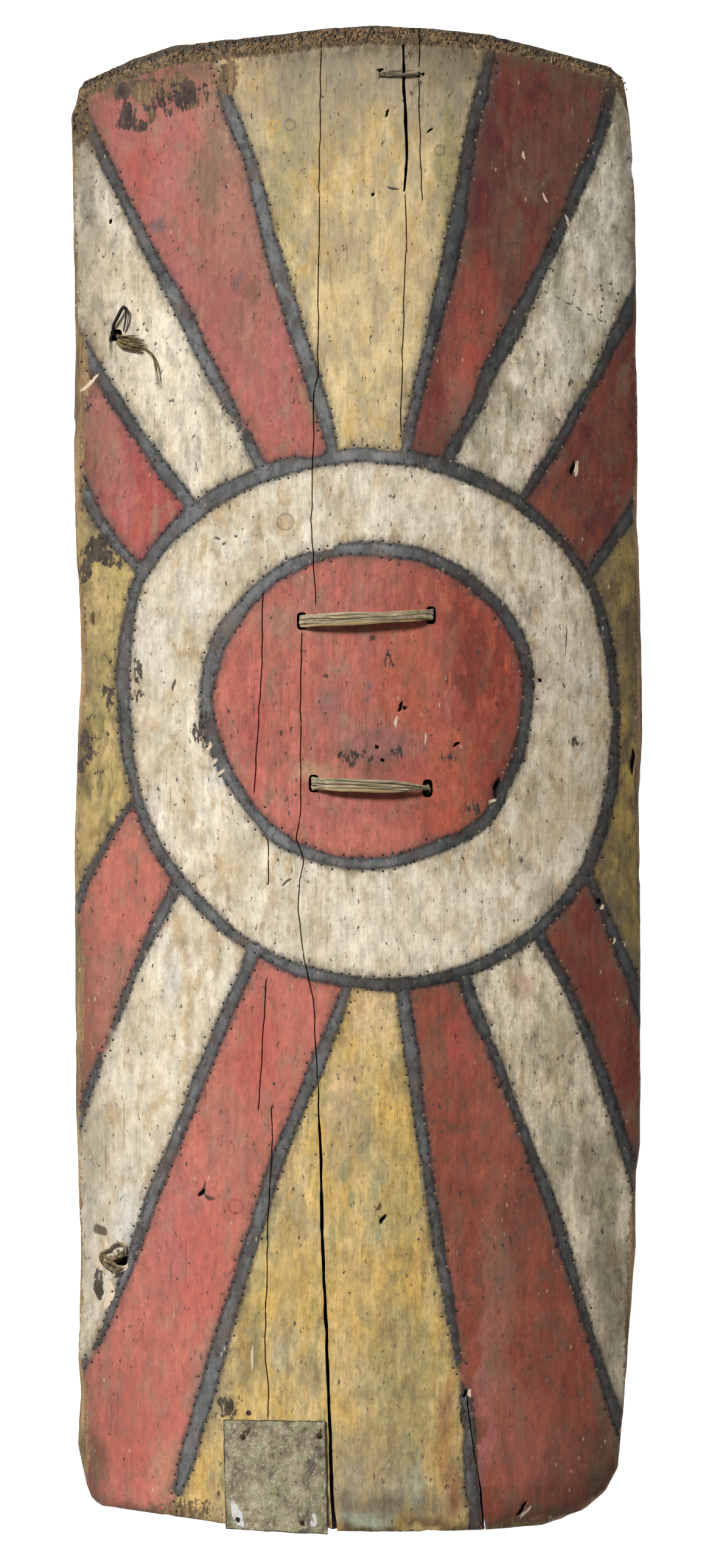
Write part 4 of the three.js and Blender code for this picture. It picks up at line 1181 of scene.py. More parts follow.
def loop_edges(loops):
    """The edges round closed lines whose points are numbered on from line to line."""
    edges, start = [], 0
    for loop in loops:
        count = len(loop)
        edges += [(start + i, start + (i + 1) % count) for i in range(count)]
        start += count
    return edges


def cut_plane(points, edges):
    """The plane cut into triangles with these points and edges: points, faces, first points' numbers."""
    verts, _, faces, origins, _, _ = delaunay_2d_cdt([Vector(p) for p in points], edges, [], 0, 1e-4, True)
    return verts, faces, origins


def triangulated(rim, holes, grid, seed, extra=np.zeros((0, 2)), kinds=np.zeros(0, int), constraints=()):
    """Triangles of the plank's plan: points, triangles, and the kind that each extra point had."""
    room = Room()
    loops = [rim, *holes]
    for loop in loops:
        room.take_loop(loop, 0.6, 1)
    room.take(extra[room.free(extra) | (kinds >= KIND_PIT)], 2)
    filler = jittered(grid, seed)
    filler = filler[room.free(filler)]
    filler = filler[inside_polygon(*filler.T, rim)]
    before = sum(map(len, loops))
    edges = loop_edges(loops) + [(before + a, before + b) for a, b in constraints]
    kind = np.concatenate([np.zeros(before, int), kinds, np.zeros(len(filler), int)])
    verts, faces, origins = cut_plane(np.concatenate([*loops, extra, filler]), edges)
    verts = np.array([tuple(v) for v in verts])
    found = np.array([kind[o[0]] if o else 0 for o in origins])
    faces = np.array([f for f in faces if len(f) == 3])
    middle = verts[faces].mean(1)
    keep = inside_polygon(*middle.T, rim)
    for hole in holes:
        near = ((middle > hole.min(0)) & (middle < hole.max(0))).all(1)
        keep[near] &= ~inside_polygon(*middle[near].T, hole)
    faces = faces[keep]
    turn = np.cross(verts[faces[:, 1]] - verts[faces[:, 0]], verts[faces[:, 2]] - verts[faces[:, 0]])
    faces[turn < 0] = faces[turn < 0][:, ::-1]
    used, flat = np.unique(faces, return_inverse=True)
    return verts[used], flat.reshape(-1, 3), found[used]


def rim_edges(faces):
    """Directed edges that only one triangle has."""
    ways = np.concatenate([faces[:, [0, 1]], faces[:, [1, 2]], faces[:, [2, 0]]])
    key = np.sort(ways, 1)
    _, first, count = np.unique(key, axis=0, return_index=True, return_counts=True)
    return ways[first[count == 1]]


def face_details(rim, holes):
    """Extra mesh points on the face for the closed cracks and the pricked dots: points, kinds, edges."""
    points, kinds, constraints = [], [], []

    def add(rows, kind):
        start = len(points)
        points.extend(np.asarray(rows).tolist())
        kinds.extend([kind] * len(rows))
        return start

    room = Room()
    for crack in CLOSED_CRACKS:
        line = resampled(crack, 5)
        line[:, 0] += 0.6 * soft_noise(line[:, 1], line[:, 0] * 0, 11, 1, 60)
        for side, kind in ((-1, KIND_GROOVE_SIDE), (0, KIND_GROOVE), (1, KIND_GROOVE_SIDE)):
            start = add(line + normals_of(line) * side * CRACK_HALF, kind)
            constraints.extend((start + i, start + i + 1) for i in range(len(line) - 1))
        room.take(resampled(line, 0.7), 2)
    for loop in holes:
        room.take_loop(loop, 0.7, 2)
    room.take_loop(rim, 0.7, 3)
    turn = np.arange(6) * math.pi / 3
    hexagon = PIT_RADIUS * np.stack([np.cos(turn), np.sin(turn)], 1)
    pits = pit_places()
    for x, y, pale in pits[inside_polygon(pits[:, 0], pits[:, 1], rim)]:
        place = np.array([[x, y]])
        if room.free(place)[0]:
            room.take(place, 4)
            add(place + hexagon, KIND_PALE_RIM if pale else KIND_PIT_RIM)
            add(place, KIND_PALE_PIT if pale else KIND_PIT)
    return np.array(points), np.array(kinds), constraints


def arris_points():
    """Close rows of points along the edges, and a dense band over the beaten top end."""
    rng = np.random.default_rng(3)
    t = np.linspace(0.004, 0.996, 330)
    shares = [share for inset in (1.2, 2.6, 4.6) for share in (inset / PLANK_WIDTH, 1 - inset / PLANK_WIDTH)]
    rows = [np.stack(plan_point(np.full_like(t, s), t), 1) for s in shares]
    s = np.linspace(0.01, 0.99, 170)
    rows += [np.stack(plan_point(s, np.full_like(s, inset / PLANK_LENGTH)), 1) for inset in (1.2, 2.8)]
    s, t = np.meshgrid(np.linspace(0.006, 0.994, 300), 1 - np.arange(1.2, 23, 2.0) / PLANK_LENGTH)
    band = np.stack(plan_point(s.ravel(), t.ravel()), 1) + rng.uniform(-0.45, 0.45, (s.size, 2))
    x, y = np.meshgrid(np.arange(-264, -226, 1.9), np.arange(590, 668, 1.9))
    corner = np.stack([x.ravel(), y.ravel()], 1) + rng.uniform(-0.5, 0.5, (x.size, 2))
    return np.concatenate([*rows, band, corner[band_value(corner) > -2]])


def band_value(points):
    """How far inside the beaten, unpainted band at the top each point lies, in millimetres."""
    x, y = points.T
    top = plan_point(shares_at(x, y)[0], 1)[1] - y
    left = 15 - distance_to(points, BAND_LEFT_CORNER)[0]
    right = 12 - distance_to(points, BAND_RIGHT_CORNER)[0]
    return np.clip(np.maximum(np.interp(x, *BAND_WIDTH) - top, np.maximum(left, right)), -30, 30)


def end_roughness(x, y, band):
    """Beaten end grain: slanting cuts and crumbled fibres on the bevel."""
    inside = np.clip((band + 1) / 3, 0, 1)
    slant = soft_noise(x + y * 0.8, y - x * 0.3, 3.6, 9, 21) + 0.7 * soft_noise(x, y, 2.3, 3.4, 22)
    return inside * (1.15 * slant - 0.6)


def crack_lean(points):
    """How far the open cracks lean sideways by the time they reach the back."""
    found = np.zeros(len(points))
    for crack, reach in zip(OPEN_CRACKS, CRACK_REACHES):
        share = np.clip(1.1 - distance_to(points, np.array(crack, float))[0] / reach, 0, 1)
        found = np.maximum(found, CRACK_LEAN * share)
    return np.minimum(found, CRACK_LEAN)


def face_mesh(rim, holes):
    """The face's plan points, triangles and kinds, with close points wherever detail needs them."""
    details, kinds, constraints = face_details(rim, holes)
    room = Room()
    for loop in (rim, *holes):
        room.take_loop(loop, 0.6, 1)
    room.take(details, 1)
    groups = [details]
    for group in (local_points(), arris_points()):
        group = group[room.free(group) & inside_polygon(*group.T, rim)]
        room.take(group, 1)
        groups.append(group)
    extra = np.concatenate(groups)
    kinds = np.concatenate([kinds, np.ones(len(extra) - len(kinds), int)])
    return triangulated(rim, holes, GRID, 7, extra, kinds, constraints)


def back_mesh(rim, holes):
    """The back's plan points, its triangles, and its points with shallow tool scoops."""
    plan, faces, _ = triangulated(rim, holes, BACK_GRID, 8)
    x, y = plan.T
    behind = surface(x, y)
    inward = (behind["face"] - behind["back"]) * np.sin(behind["angle"]) * 0.8
    scoop = 0.9 * np.abs(soft_noise(x, y, 30, 62, 31)) + 0.5 * soft_noise(x, y, 80, 120, 32)
    free = np.clip(np.minimum(behind["side"], np.minimum(behind["top"], behind["foot"])) / 14, 0, 1)
    z = np.maximum(behind["back"] - scoop * free + 0.4, 0)
    return plan, faces[:, ::-1], np.stack([x - inward + crack_lean(plan), y, z], 1)


def walls(plan, back_plan, points, edges):
    """Rough walls from the edges of the face to those of the back: new points and triangles."""
    ring, ends = np.unique(edges, return_inverse=True)
    behind = {tuple(np.round(p, 3)): i for i, p in enumerate(back_plan, len(plan))}
    partner = np.array([behind[tuple(np.round(plan[i], 3))] for i in ring])
    rows, added = [ring], []
    for share in WALL_SHARES:
        middle = points[ring] + (points[partner] - points[ring]) * share
        x, y, z = middle.T
        rough = 0.5 * soft_noise(x + z * 3, y, 6, 6, int(share * 100))
        middle[:, 0] -= np.sign(x) * (np.abs(x) > SIDE_WALL_X) * np.abs(rough)
        middle[:, 2] = np.maximum(z, 0)
        rows.append(len(points) + len(added) * len(ring) + np.arange(len(ring)))
        added.append(middle)
    rows.append(partner)
    a, b = ends.reshape(-1, 2).T
    found = [np.stack([upper[b], upper[a], lower[a], upper[b], lower[a], lower[b]], 1)
             for upper, lower in zip(rows, rows[1:])]
    return np.concatenate(added), np.concatenate(found).reshape(-1, 3)


def worn(x, y, side, end):
    """Grime, with painted shade along the sides, and wear of the paint at each point, from its distances to
    a side and to an end.
    """
    # The grime grows within 40 mm of a side: dirt and painted shade
    grime_and_edge_shade = 0.7 + 0.3 * soft_noise(x, y, 60, 90, 33) + 0.5 * np.clip(1 - side / 40, 0, 1)
    grime_and_edge_shade *= np.interp(x, *GRIME_ACROSS)
    wear = 0.12 + 0.6 * np.clip(1 - end / 7, 0, 1)
    wear += 0.3 * np.clip(soft_noise(x, y, 38, 52, 34) - 0.4, 0, 1)
    left_side = np.clip(1 - (x + HALF_WIDTH) / 16, 0, 1)
    wear += 0.45 * left_side * np.clip(soft_noise(x, y, 12, 60, 35) + 0.5, 0, 1)
    for *place, strength in LOSSES:
        wear += strength * felt(x, y, *place)
    return np.clip(grime_and_edge_shade, 0, 1), np.clip(wear, 0, 1)


def line_tone(x, y):
    """How pale or dark the painted lines are at each point."""
    low = np.clip((-60 - y) / 140, 0, 1)
    tone = np.interp(x, *UPPER_LINE_TONE) * (1 - low) + np.interp(x, *LOWER_LINE_TONE) * low
    for *place, factor in LINE_TONES:
        tone *= 1 + (factor - 1) * felt(x, y, *place)
    return tone


def board():
    """The plank: its face with pits, cracks and damage, its back, and the walls between them."""
    rim, holes = outline(), openings()
    plan, faces, kind = face_mesh(rim, holes)
    back_plan, back_faces, back = back_mesh(rim, holes)
    x, y = plan.T
    face = surface(x, y)
    side = face["side"]
    band = band_value(plan)
    hole, dark, chip = (mark_values(x, y, kinds) for kinds in (("hole",), ("dark", "hole"), ("chip",)))
    pit = np.isin(kind, (KIND_PIT, KIND_PALE_PIT)).astype(float)
    groove = (kind == KIND_GROOVE).astype(float)
    z = face["face"] + undulation(x, y) + end_roughness(x, y, band)
    z -= PIT_DEPTH * pit + CRACK_DEPTH * groove
    z -= HOLE_DEPTH * hole + DARK_DEPTH * dark + CHIP_DEPTH * chip
    z -= 0.8 * np.clip(soft_noise(x, y, 7, 16, 25) - 0.2, 0, 1) * np.clip(1 - side / 9, 0, 1)
    points = np.concatenate([np.stack([x, y, np.maximum(z, 0.2)], 1), back])
    edges = rim_edges(faces)
    wall_points, wall_faces = walls(plan, back_plan, points, edges)
    points = np.concatenate([points, wall_points])
    # The walls of the holes and open cracks get dark wood: painted shade inside them
    materials = [painted_face(), hewn_wood(), hewn_wood("crack_wall_shade", srgb(30, 22, 15), srgb(60, 44, 30))]
    all_faces = np.concatenate([faces, back_faces + len(plan), wall_faces])
    piece = put_mesh("hewn_board", points, all_faces, materials)
    in_hole = np.min([distance_to(plan[edges[:, 0]], loop, True)[0] for loop in holes], 0) < 0.2
    wall_index = 1 + np.tile(np.repeat(in_hole, 2), len(WALL_SHARES) + 1)
    index = np.concatenate([np.zeros(len(faces)), np.ones(len(back_faces)), wall_index])
    piece.data.polygons.foreach_set("material_index", index.astype(np.int32))
    piece.data.set_sharp_from_angle(angle=math.radians(50))
    tones, busy, edge = pattern(plan)
    paint, cloud, rubbed = np.moveaxis(stained(plan, tones), 1, 0)
    grime_and_edge_shade, wear = worn(x, y, side, np.minimum(face["foot"], side))
    blot = np.zeros(len(plan))
    for *place, strength in BLOTS:
        blot = np.maximum(blot, strength * felt(x, y, *place, top=1.45, fall=0.8))
    pale = np.isin(kind, (KIND_PALE_PIT, KIND_PALE_RIM))
    crest = np.interp(x, *CREST_WIDTH) - face["top"]
    # The values on the face, and the one value on the back and the walls
    for name, value, elsewhere in (
        ("paint", paint, BARK), ("cloud", cloud, BARK), ("rubbed", rubbed, BARK), ("busy", busy, 1),
        ("line_edge", edge, 50), ("line_tone", line_tone(x, y), 1), ("grime_and_edge_shade", grime_and_edge_shade, 0), ("wear", wear, 1),
        ("band", band, -30), ("crest", crest, -30), ("blot", blot, 0), ("pit", np.maximum(pit, hole), 0),
        ("pit_pale", pale, 0), ("dark", dark, 0), ("chip", chip, 0), ("groove", groove, 0),
    ):
        rest = np.broadcast_to(elsewhere, (len(points) - len(plan), *value.shape[1:]))
        put_values(piece, name, np.concatenate([value, rest]))
    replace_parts(piece, "shield_board")


# Swept pieces

def tube_faces(rings, sides, closed=False):
    """The quads of a tube whose points lie ring after ring."""
    steps = [(i * sides, (i + 1) % rings * sides) for i in range(rings if closed else rings - 1)]
    ways = [(k, (k + 1) % sides) for k in range(sides)]
    return [(i + k, i + m, j + m, j + k) for i, j in steps for k, m in ways]


def sweep(centre, side, up, half_side, half_up, closed=False, sides=8, square=0.7):
    """A strand along centre points: side and up are unit vectors at each point."""
    turn = (np.arange(sides) + 0.5) / sides * 2 * math.pi
    soft = lambda v: np.sign(v) * np.abs(v) ** square
    half = lambda v: np.broadcast_to(v, (len(centre),))[:, None, None]
    points = (centre[:, None] + side[:, None] * (soft(np.sin(turn))[None, :, None] * half(half_side))
              + up[:, None] * (soft(np.cos(turn))[None, :, None] * half(half_up)))
    faces = tube_faces(len(centre), sides, closed)
    if not closed:
        faces.append(tuple(range(sides))[::-1])
        faces.append(tuple((len(centre) - 1) * sides + k for k in range(sides)))
    return points.reshape(-1, 3), faces


def smooth_line(points, count, closed=False):
    """A Catmull-Rom curve through the points."""
    points = np.asarray(points, float)
    last = len(points) if closed else len(points) - 1
    at = np.linspace(0, last, count, endpoint=not closed)
    i = np.minimum(at.astype(int), last - 1)
    f = (at - i)[:, None]
    ends = "wrap" if closed else "clip"
    p0, p1, p2, p3 = (points.take(i + k, axis=0, mode=ends) for k in (-1, 0, 1, 2))
    square, cube = 2 * p0 - 5 * p1 + 4 * p2 - p3, 3 * p1 - p0 - 3 * p2 + p3
    return 0.5 * (2 * p1 + (p2 - p0) * f + square * f**2 + cube * f**3)


def unit(v):
    """Vectors brought to a length of 1."""
    return v / np.maximum(np.linalg.norm(v, axis=-1, keepdims=True), 1e-9)


class Bundle:
    """Collects strands into one mesh, each with a value of its own for its colour."""

    def __init__(self):
        self.points, self.faces, self.values = [], [], []

    def add(self, points, faces, value):
        start = len(self.values)
        self.points.append(points)
        self.faces += [tuple(i + start for i in f) for f in faces]
        self.values += [value] * len(points)

    def put(self, name, slot, material):
        piece = put_mesh(name, np.concatenate(self.points), self.faces, [material])
        put_values(piece, "strand", self.values)
        return piece


def loop_route(loop, thickness, count):
    """A loop's centre points round the wood, with the outward and the sideways vector at each."""
    (x0, y0), (x1, y1) = loop["ends"]
    start, end, crown = (surface(x, y) for x, y in ((x0, y0), (x1, y1), ((x0 + x1) / 2, (y0 + y1) / 2)))
    half, reach, turn = thickness / 2, x1 - x0, thickness * 0.55
    top, low = crown["face"] + half + loop["rise"], crown["back"] - half - loop["drop"]
    blend = lambda a, b, share: a + (b - a) * share
    shoulder = lambda p: p["face"] + half + GAP
    raised = lambda p: blend(shoulder(p), top, 0.75)
    sunk = lambda p, share: blend(p["back"] - 1, low, share)
    line = smooth_line([
        (x0 + turn, shoulder(start)), (x0 + reach * 0.2, raised(start)), (x0 + reach * 0.5, top),
        (x0 + reach * 0.8, raised(end)), (x1 - turn, shoulder(end)), (x1, end["face"] - 1.5),
        (x1, end["back"] - 1), (x1 - reach * 0.06, sunk(end, 0.45)), (x1 - reach * 0.2, sunk(end, 0.85)),
        (x0 + reach * 0.5, low), (x0 + reach * 0.2, sunk(start, 0.85)),
        (x0 + reach * 0.06, sunk(start, 0.45)), (x0, start["back"] - 1), (x0, start["face"] - 1.5),
    ], count, closed=True)
    ahead = unit(np.roll(line, -1, 0) - np.roll(line, 1, 0))
    centre = np.stack([line[:, 0], blend(y0, y1, (line[:, 0] - x0) / reach), line[:, 1]], 1)
    outward = np.stack([-ahead[:, 1], np.zeros(count), ahead[:, 0]], 1)
    return centre, outward, np.tile([0.0, 1.0, 0.0], (count, 1))


def cane_loop(name, node, loop, strands, twist, seed, width=CANE_WIDTH, thickness=CANE_THICKNESS, cane=CANE):
    """Flat cane strands wound side by side round one closed route."""
    centre, up, side = loop_route(loop, thickness, LOOP_STEPS)
    rng = np.random.default_rng(seed)
    phase = np.linspace(0, 2 * math.pi, LOOP_STEPS, endpoint=False)
    bundle = Bundle()
    for k in range(strands):
        place = ((k + 0.5) / strands - 0.5) * (width - 1.5)
        swing = twist * math.pi * np.sin(phase * 0.5) ** 2
        wobble = 0.55 * np.sin(phase * rng.integers(2, 5) + rng.random() * 6)
        wobble += 0.3 * np.sin(phase * 9 + rng.random() * 6)
        across = place * np.cos(swing) + wobble
        lift = place * np.sin(swing) * 0.18 + 0.5 * np.sin(phase * 3 + k * 2.1) * 0.6 + (k % 2) * 0.5 - 0.2
        half_up = 0.75 + 0.12 * rng.random()
        lift = np.clip(lift, -thickness / 2 + half_up, thickness / 2 - half_up)
        line = centre + side * across[:, None] + up * lift[:, None]
        half = width / strands * 0.62 * (1 + 0.12 * np.sin(phase * 5 + rng.random() * 6))
        tip = unit(side + up * (0.22 * np.sin(phase * 2 + k))[:, None])
        top = unit(up - tip * (up * tip).sum(1, keepdims=True))
        bundle.add(*sweep(line, tip, top, half, half_up, closed=True, sides=10), rng.random())
    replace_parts(bundle.put(name, "cane", cane), node)


def fibres(bundle, route, count, spread, radius, seed, fray=0.0, share=(0.7, 1.0), steps=12):
    """Thin fibres that follow one route side by side and fray towards its end."""
    rng = np.random.default_rng(seed)
    line = smooth_line(route, steps)
    run = np.linspace(0, 1, steps)
    for _ in range(count):
        shift = rng.normal(0, 1, 3) * spread
        shift[2] = abs(shift[2]) * 0.6
        stray = rng.normal(0, 1, 3) * fray
        stray[2] = abs(stray[2]) * 0.35
        length = rng.uniform(*share)
        own = np.stack([np.interp(run * length, run, line[:, k]) for k in range(3)], 1)
        own = own + shift * (0.4 + 0.6 * run[:, None]) + stray * (run[:, None] ** 2)
        ahead = unit(np.gradient(own, axis=0))
        side = unit(np.cross(ahead, [0.1, 0.2, 1.0]))
        up = np.cross(side, ahead)
        thin = radius * rng.uniform(0.7, 1.3) * (1 - 0.75 * run**2)
        bundle.add(*sweep(own, side, up, thin * 1.4, thin, sides=5, square=1), rng.random())


def face_z(x, y):
    """Height of the hewn face at one place."""
    return float(surface(x, y)["crown"] + undulation(x, y))


def hanks(bundle, start, rows):
    """Hanks of fibre: each is a route of x, y and height over the face, the number of fibres, their
    spread, radius and seed, and what else fibres() takes. The first hank comes out of its hole."""
    for route, count, spread, radius, seed, more in rows:
        route = [(x, y, face_z(x, y) + lift) for x, y, lift in route]
        fibres(bundle, start + route, count, spread, radius, seed, **more)
        start = []


def upper_tie():
    """Flat fibre out of its hole in three hanks, with a dark standing loop and long loose wisps."""
    x, y = UPPER_TIE
    back = float(surface(x, y)["back"])
    bundle, dark = Bundle(), Bundle()
    hanks(bundle, [(x + 1, y, back - 5), (x + 1, y, back + 8)], (
        ([(-220, 412, 2.2), (-212, 411.5, 2.6), (-202, 410, 1.4)], 22, 1.3, 0.5, 5, dict(fray=1.6)),
        ([(-222, 410, 1.4), (-214, 407, 3.0), (-206, 405.5, 3.2), (-197, 404, 1.6)],
         24, 1.4, 0.5, 6, dict(fray=1.2)),
        ([(-223, 408, 1.0), (-217, 402.5, 2.4), (-208, 401, 2.2), (-198, 397.5, 1.2)],
         20, 1.2, 0.45, 18, dict(fray=1.4)),
        ([(-205, 405.5, 3.0), (-195, 400, 2.2), (-188, 393, 1.6), (-183.5, 381, 1.2), (-181, 360, 0.8)],
         6, 0.7, 0.32, 7, dict(fray=1.6, steps=22)),
        ([(-190, 395, 1.6), (-187.5, 384, 1.0), (-184, 362, 0.8)], 3, 0.5, 0.22, 19, dict(fray=1.4)),
        ([(-229, 411, 1.0), (-229.5, 402, 1.2), (-227, 392, 0.8)], 3, 0.3, 0.2, 8, dict(fray=1.0)),
    ))
    hanks(dark, [], (
        ([(-224, 413, -4), (-227, 421, 2.4), (-222.5, 431, 4.5), (-217.5, 439.5, 5), (-214.4, 437, 5),
          (-214.5, 428, 4), (-216.6, 417, 1.6)], 12, 0.75, 0.62, 9, dict(share=(0.93, 1.0), steps=34)),
        ([(-226, 415, -3), (-228.6, 414, 1.8), (-229.6, 408, 1.6)], 9, 0.8, 0.6, 10, {}),
    ))
    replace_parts(bundle.put("fibre_tie_upper_strands", "fibre", FIBRE), "fibre_tie_upper")
    dark.put("fibre_tie_upper_loop", "fibre", DARK_FIBRE)


def lower_tie():
    """A dry knot that fills its hole, with curled ends."""
    x, y = LOWER_TIE
    back = float(surface(x, y)["back"])
    bundle = Bundle()
    hanks(bundle, [(x, y, back - 4), (x, y, back + 8)], (
        ([(-223, -446, 1.5), (-230, -441, 2)], 20, 1.5, 0.45, 12, {}),
        ([(-229, -438, 1.6), (-236.5, -440, 2.4), (-239, -445, 2.4), (-235, -452, 2.6), (-226, -456.5, 2.2),
          (-222, -461, 1)], 24, 0.9, 0.45, 13, dict(share=(0.85, 1.0), steps=22, fray=0.8)),
        ([(-231, -439, 1.8), (-226, -433.5, 2.4), (-219, -432, 2.8), (-215.4, -436, 3), (-217.5, -441, 3),
          (-222, -440, 3.4), (-222.5, -436, 3)], 20, 0.8, 0.45, 14, dict(share=(0.85, 1.0), steps=24)),
        ([(-236, -443, 2.2), (-228, -446, 4.0), (-221, -443.5, 4.2), (-214, -441.5, 2)],
         22, 1.1, 0.45, 15, dict(steps=14)),
        ([(-236, -449, 1.8), (-229, -449, 3.4), (-223, -453.5, 3.0), (-216.5, -454, 1.4)],
         18, 1.1, 0.45, 16, dict(steps=14)),
        ([(-229, -444, 3.6), (-227, -452, 3.8), (-223, -458, 1.6)], 12, 0.9, 0.4, 17, dict(fray=1.0)),
        ([(-223, -433, 2.0), (-223.4, -428, 1.4)], 4, 0.5, 0.3, 20, dict(fray=0.8)),
    ))
    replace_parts(bundle.put("fibre_tie_lower_strands", "fibre", KNOT_FIBRE), "fibre_tie_lower")


def patch_sheet():
    """The nailed sheet: dented, with a bent lower edge, following the face."""
    columns, rows = 56, 62
    u, v = (grid.ravel() for grid in np.meshgrid(np.linspace(0, 1, columns), np.linspace(0, 1, rows)))
    foot, top = (np.array(PATCH[end], float) for end in ("foot", "top"))
    low = foot[0] + (foot[1] - foot[0]) * u[:, None]
    high = top[0] + (top[1] - top[0]) * u[:, None]
    x, y = (low + (high - low) * v[:, None]).T
    side, end = np.minimum(u, 1 - u), np.minimum(v, 1 - v)
    edge = np.minimum(side, end)
    rim = np.clip(1 - edge / 0.03, 0, 1)
    trim = rim * 0.5 * (1 + soft_noise(x, y, 7, 7, 55))
    x = x + np.where(u < 0.5, 1, -1) * trim * (side < 0.04)
    y = y + np.where(v < 0.5, 1, -1) * trim * (end < 0.04)
    dents = 0.3 * soft_noise(x, y, 17, 17, 51) + 0.16 * soft_noise(x, y, 6, 6, 52)
    z = surface(x, np.maximum(y, PATCH_BEND_Y))["crown"] + undulation(x, y) + PATCH_GAP + dents + 0.35
    z += 0.5 * np.clip(1 - edge / 0.05, 0, 1) * soft_noise(x, y, 25, 25, 53)
    for nail_x, nail_y, _ in PATCH_NAILS:
        z -= 0.5 * np.clip(1 - np.hypot(x - nail_x, y - nail_y) / 6, 0, 1)
    points = np.concatenate([np.stack([x, y, z + PATCH_THICKNESS - 0.5], 1), np.stack([x, y, z - 0.2], 1)])
    count = rows * columns
    number = np.arange(count).reshape(rows, columns)
    faces = []
    for a, b, c, d in zip(*(part.ravel().tolist() for part in (
            number[:-1, :-1], number[:-1, 1:], number[1:, 1:], number[1:, :-1]))):
        faces += [(a, b, c, d), (count + d, count + c, count + b, count + a)]
    ring = np.concatenate([number[0], number[1:, -1], number[-1, -2::-1], number[-2:0:-1, 0]])
    faces += [(b, a, count + a, count + b) for a, b in zip(ring, np.roll(ring, -1))]
    piece = put_mesh("patch_sheet", points, faces, [sheet_material()])
    piece.data.set_sharp_from_angle(angle=math.radians(50))
    # The painted highlights of bare zinc
    glint = felt(x + 0.3 * (y - LEANING_GLINT[1]), y, *LEANING_GLINT)
    glint += 0.7 * felt(x, y, *FAINT_GLINT, top=1.2)
    # The dark rim: painted shade along the sheet's edges and in its torn slots
    for slot_x, slot_y in PATCH_SLOTS:
        rim = np.maximum(rim, 1.2 * felt(x - 0.35 * (y - slot_y), y, slot_x, slot_y, 1.6, 5.5, top=1.4))
    put_values(piece, "glint", np.concatenate([glint, glint * 0]))
    put_values(piece, "edge", np.concatenate([rim, rim]))
    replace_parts(piece, "repair_patch")


def nail(name, node, place, lift, seed):
    """A hammered nail: an uneven flat head on a round shank."""
    x, y, radius = place
    rng = np.random.default_rng(seed)
    sides = 18
    turn = np.arange(sides) / sides * 2 * math.pi
    wobble = 1 + 0.07 * soft_noise(np.cos(turn) * 9, np.sin(turn) * 9, 5, 5, seed)
    profile = [(1.0, -9), (1.05, -0.1), (radius * 0.94, 0.0), (radius, 0.35), (radius * 0.93, 0.75),
               (radius * 0.55, 1.05), (radius * 0.2, 1.12)]
    rings = [np.stack([r * wobble * np.cos(turn), r * wobble * np.sin(turn), np.full(sides, h)], 1)
             for r, h in profile]
    points = np.concatenate([*rings, [[0, 0, -10.0]], [[0, 0, 1.1 - 0.2 * rng.random()]]])
    last = len(profile) * sides
    faces = tube_faces(len(profile), sides)
    faces += [((k + 1) % sides, k, last) for k in range(sides)]
    faces += [(last - sides + k, last - sides + (k + 1) % sides, last + 1) for k in range(sides)]
    tilt_x, tilt_y = rng.normal(0, 0.08, 2)
    lean = float(surface(x, y)["angle"]) + tilt_x
    px, py, pz = points.T
    turned = np.stack([px * math.cos(lean) + pz * math.sin(lean), py + pz * tilt_y,
                       -px * math.sin(lean) + pz * math.cos(lean)], 1)
    piece = put_mesh(name, turned + [x, y, face_z(x, y) + lift], faces, [IRON])
    piece.data.set_sharp_from_angle(angle=math.radians(40))
    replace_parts(piece, node)


def end_place(s, t):
    """A point on the face near the top end, from its shares across and up the plank."""
    x, y = (float(v) for v in plan_point(np.float64(s), np.float64(t)))
    return x, y, float(surface(x, y)["face"])


def frayed_top():
    """Short broken fibres along the beaten top end, and charred tufts at its left corner."""
    rng = np.random.default_rng(17)
    pale, dark = Bundle(), Bundle()
    slope = TOP_BEVEL_DROP / TOP_BEVEL_LENGTH
    for _ in range(END_FIBRES):
        s = rng.random()
        depth = rng.uniform(1.5, TOP_BEVEL_LENGTH)
        x, y, z = end_place(s, 1 - depth / PLANK_LENGTH)
        reach = min(rng.uniform(2.0, 5.5), depth - 0.3)
        way = np.array([rng.normal(0.35, 0.45), 1.0])
        way = way / np.linalg.norm(way) * reach
        route = [
            (x, y, z + 0.1),
            (x + way[0] * 0.5, y + way[1] * 0.5, z + 0.7 - slope * reach * 0.45),
            (x + way[0], y + way[1], z + 0.5 + rng.random() * 0.6 - slope * reach * 0.9),
        ]
        target = dark if rng.random() < 0.42 else pale
        fibres(target, route, 1, 0.05, rng.uniform(0.22, 0.5), int(rng.integers(1e6)), steps=4)
    for _ in range(CORNER_TUFTS):
        share = rng.random()
        s, t = (0.004 + 0.05 * share, 1 - 0.001) if rng.random() < 0.5 else (0.003, 1 - 0.03 * share)
        x, y, z = end_place(s, t)
        way_x, way_y = 0.5 + 0.2 * rng.normal(), 0.3 + 0.3 * rng.normal()
        length = rng.uniform(2, 5)
        route = [
            (x + 1.5, y - 1.5, z - 0.5),
            (x + 1 + way_x, y - 1 + way_y, z + 1.0),
            (x + 1 + way_x * length, y - 1 + way_y * length * 0.4, z + 1.6),
        ]
        fibres(dark, route, 1, 0.1, rng.uniform(0.35, 0.7), int(rng.integers(1e6)), steps=4)
    pale.put("top_edge_fibres", "painted_wood", TOP_FIBRE)
    dark.put("top_edge_char", "painted_wood", DARK_FIBRE)


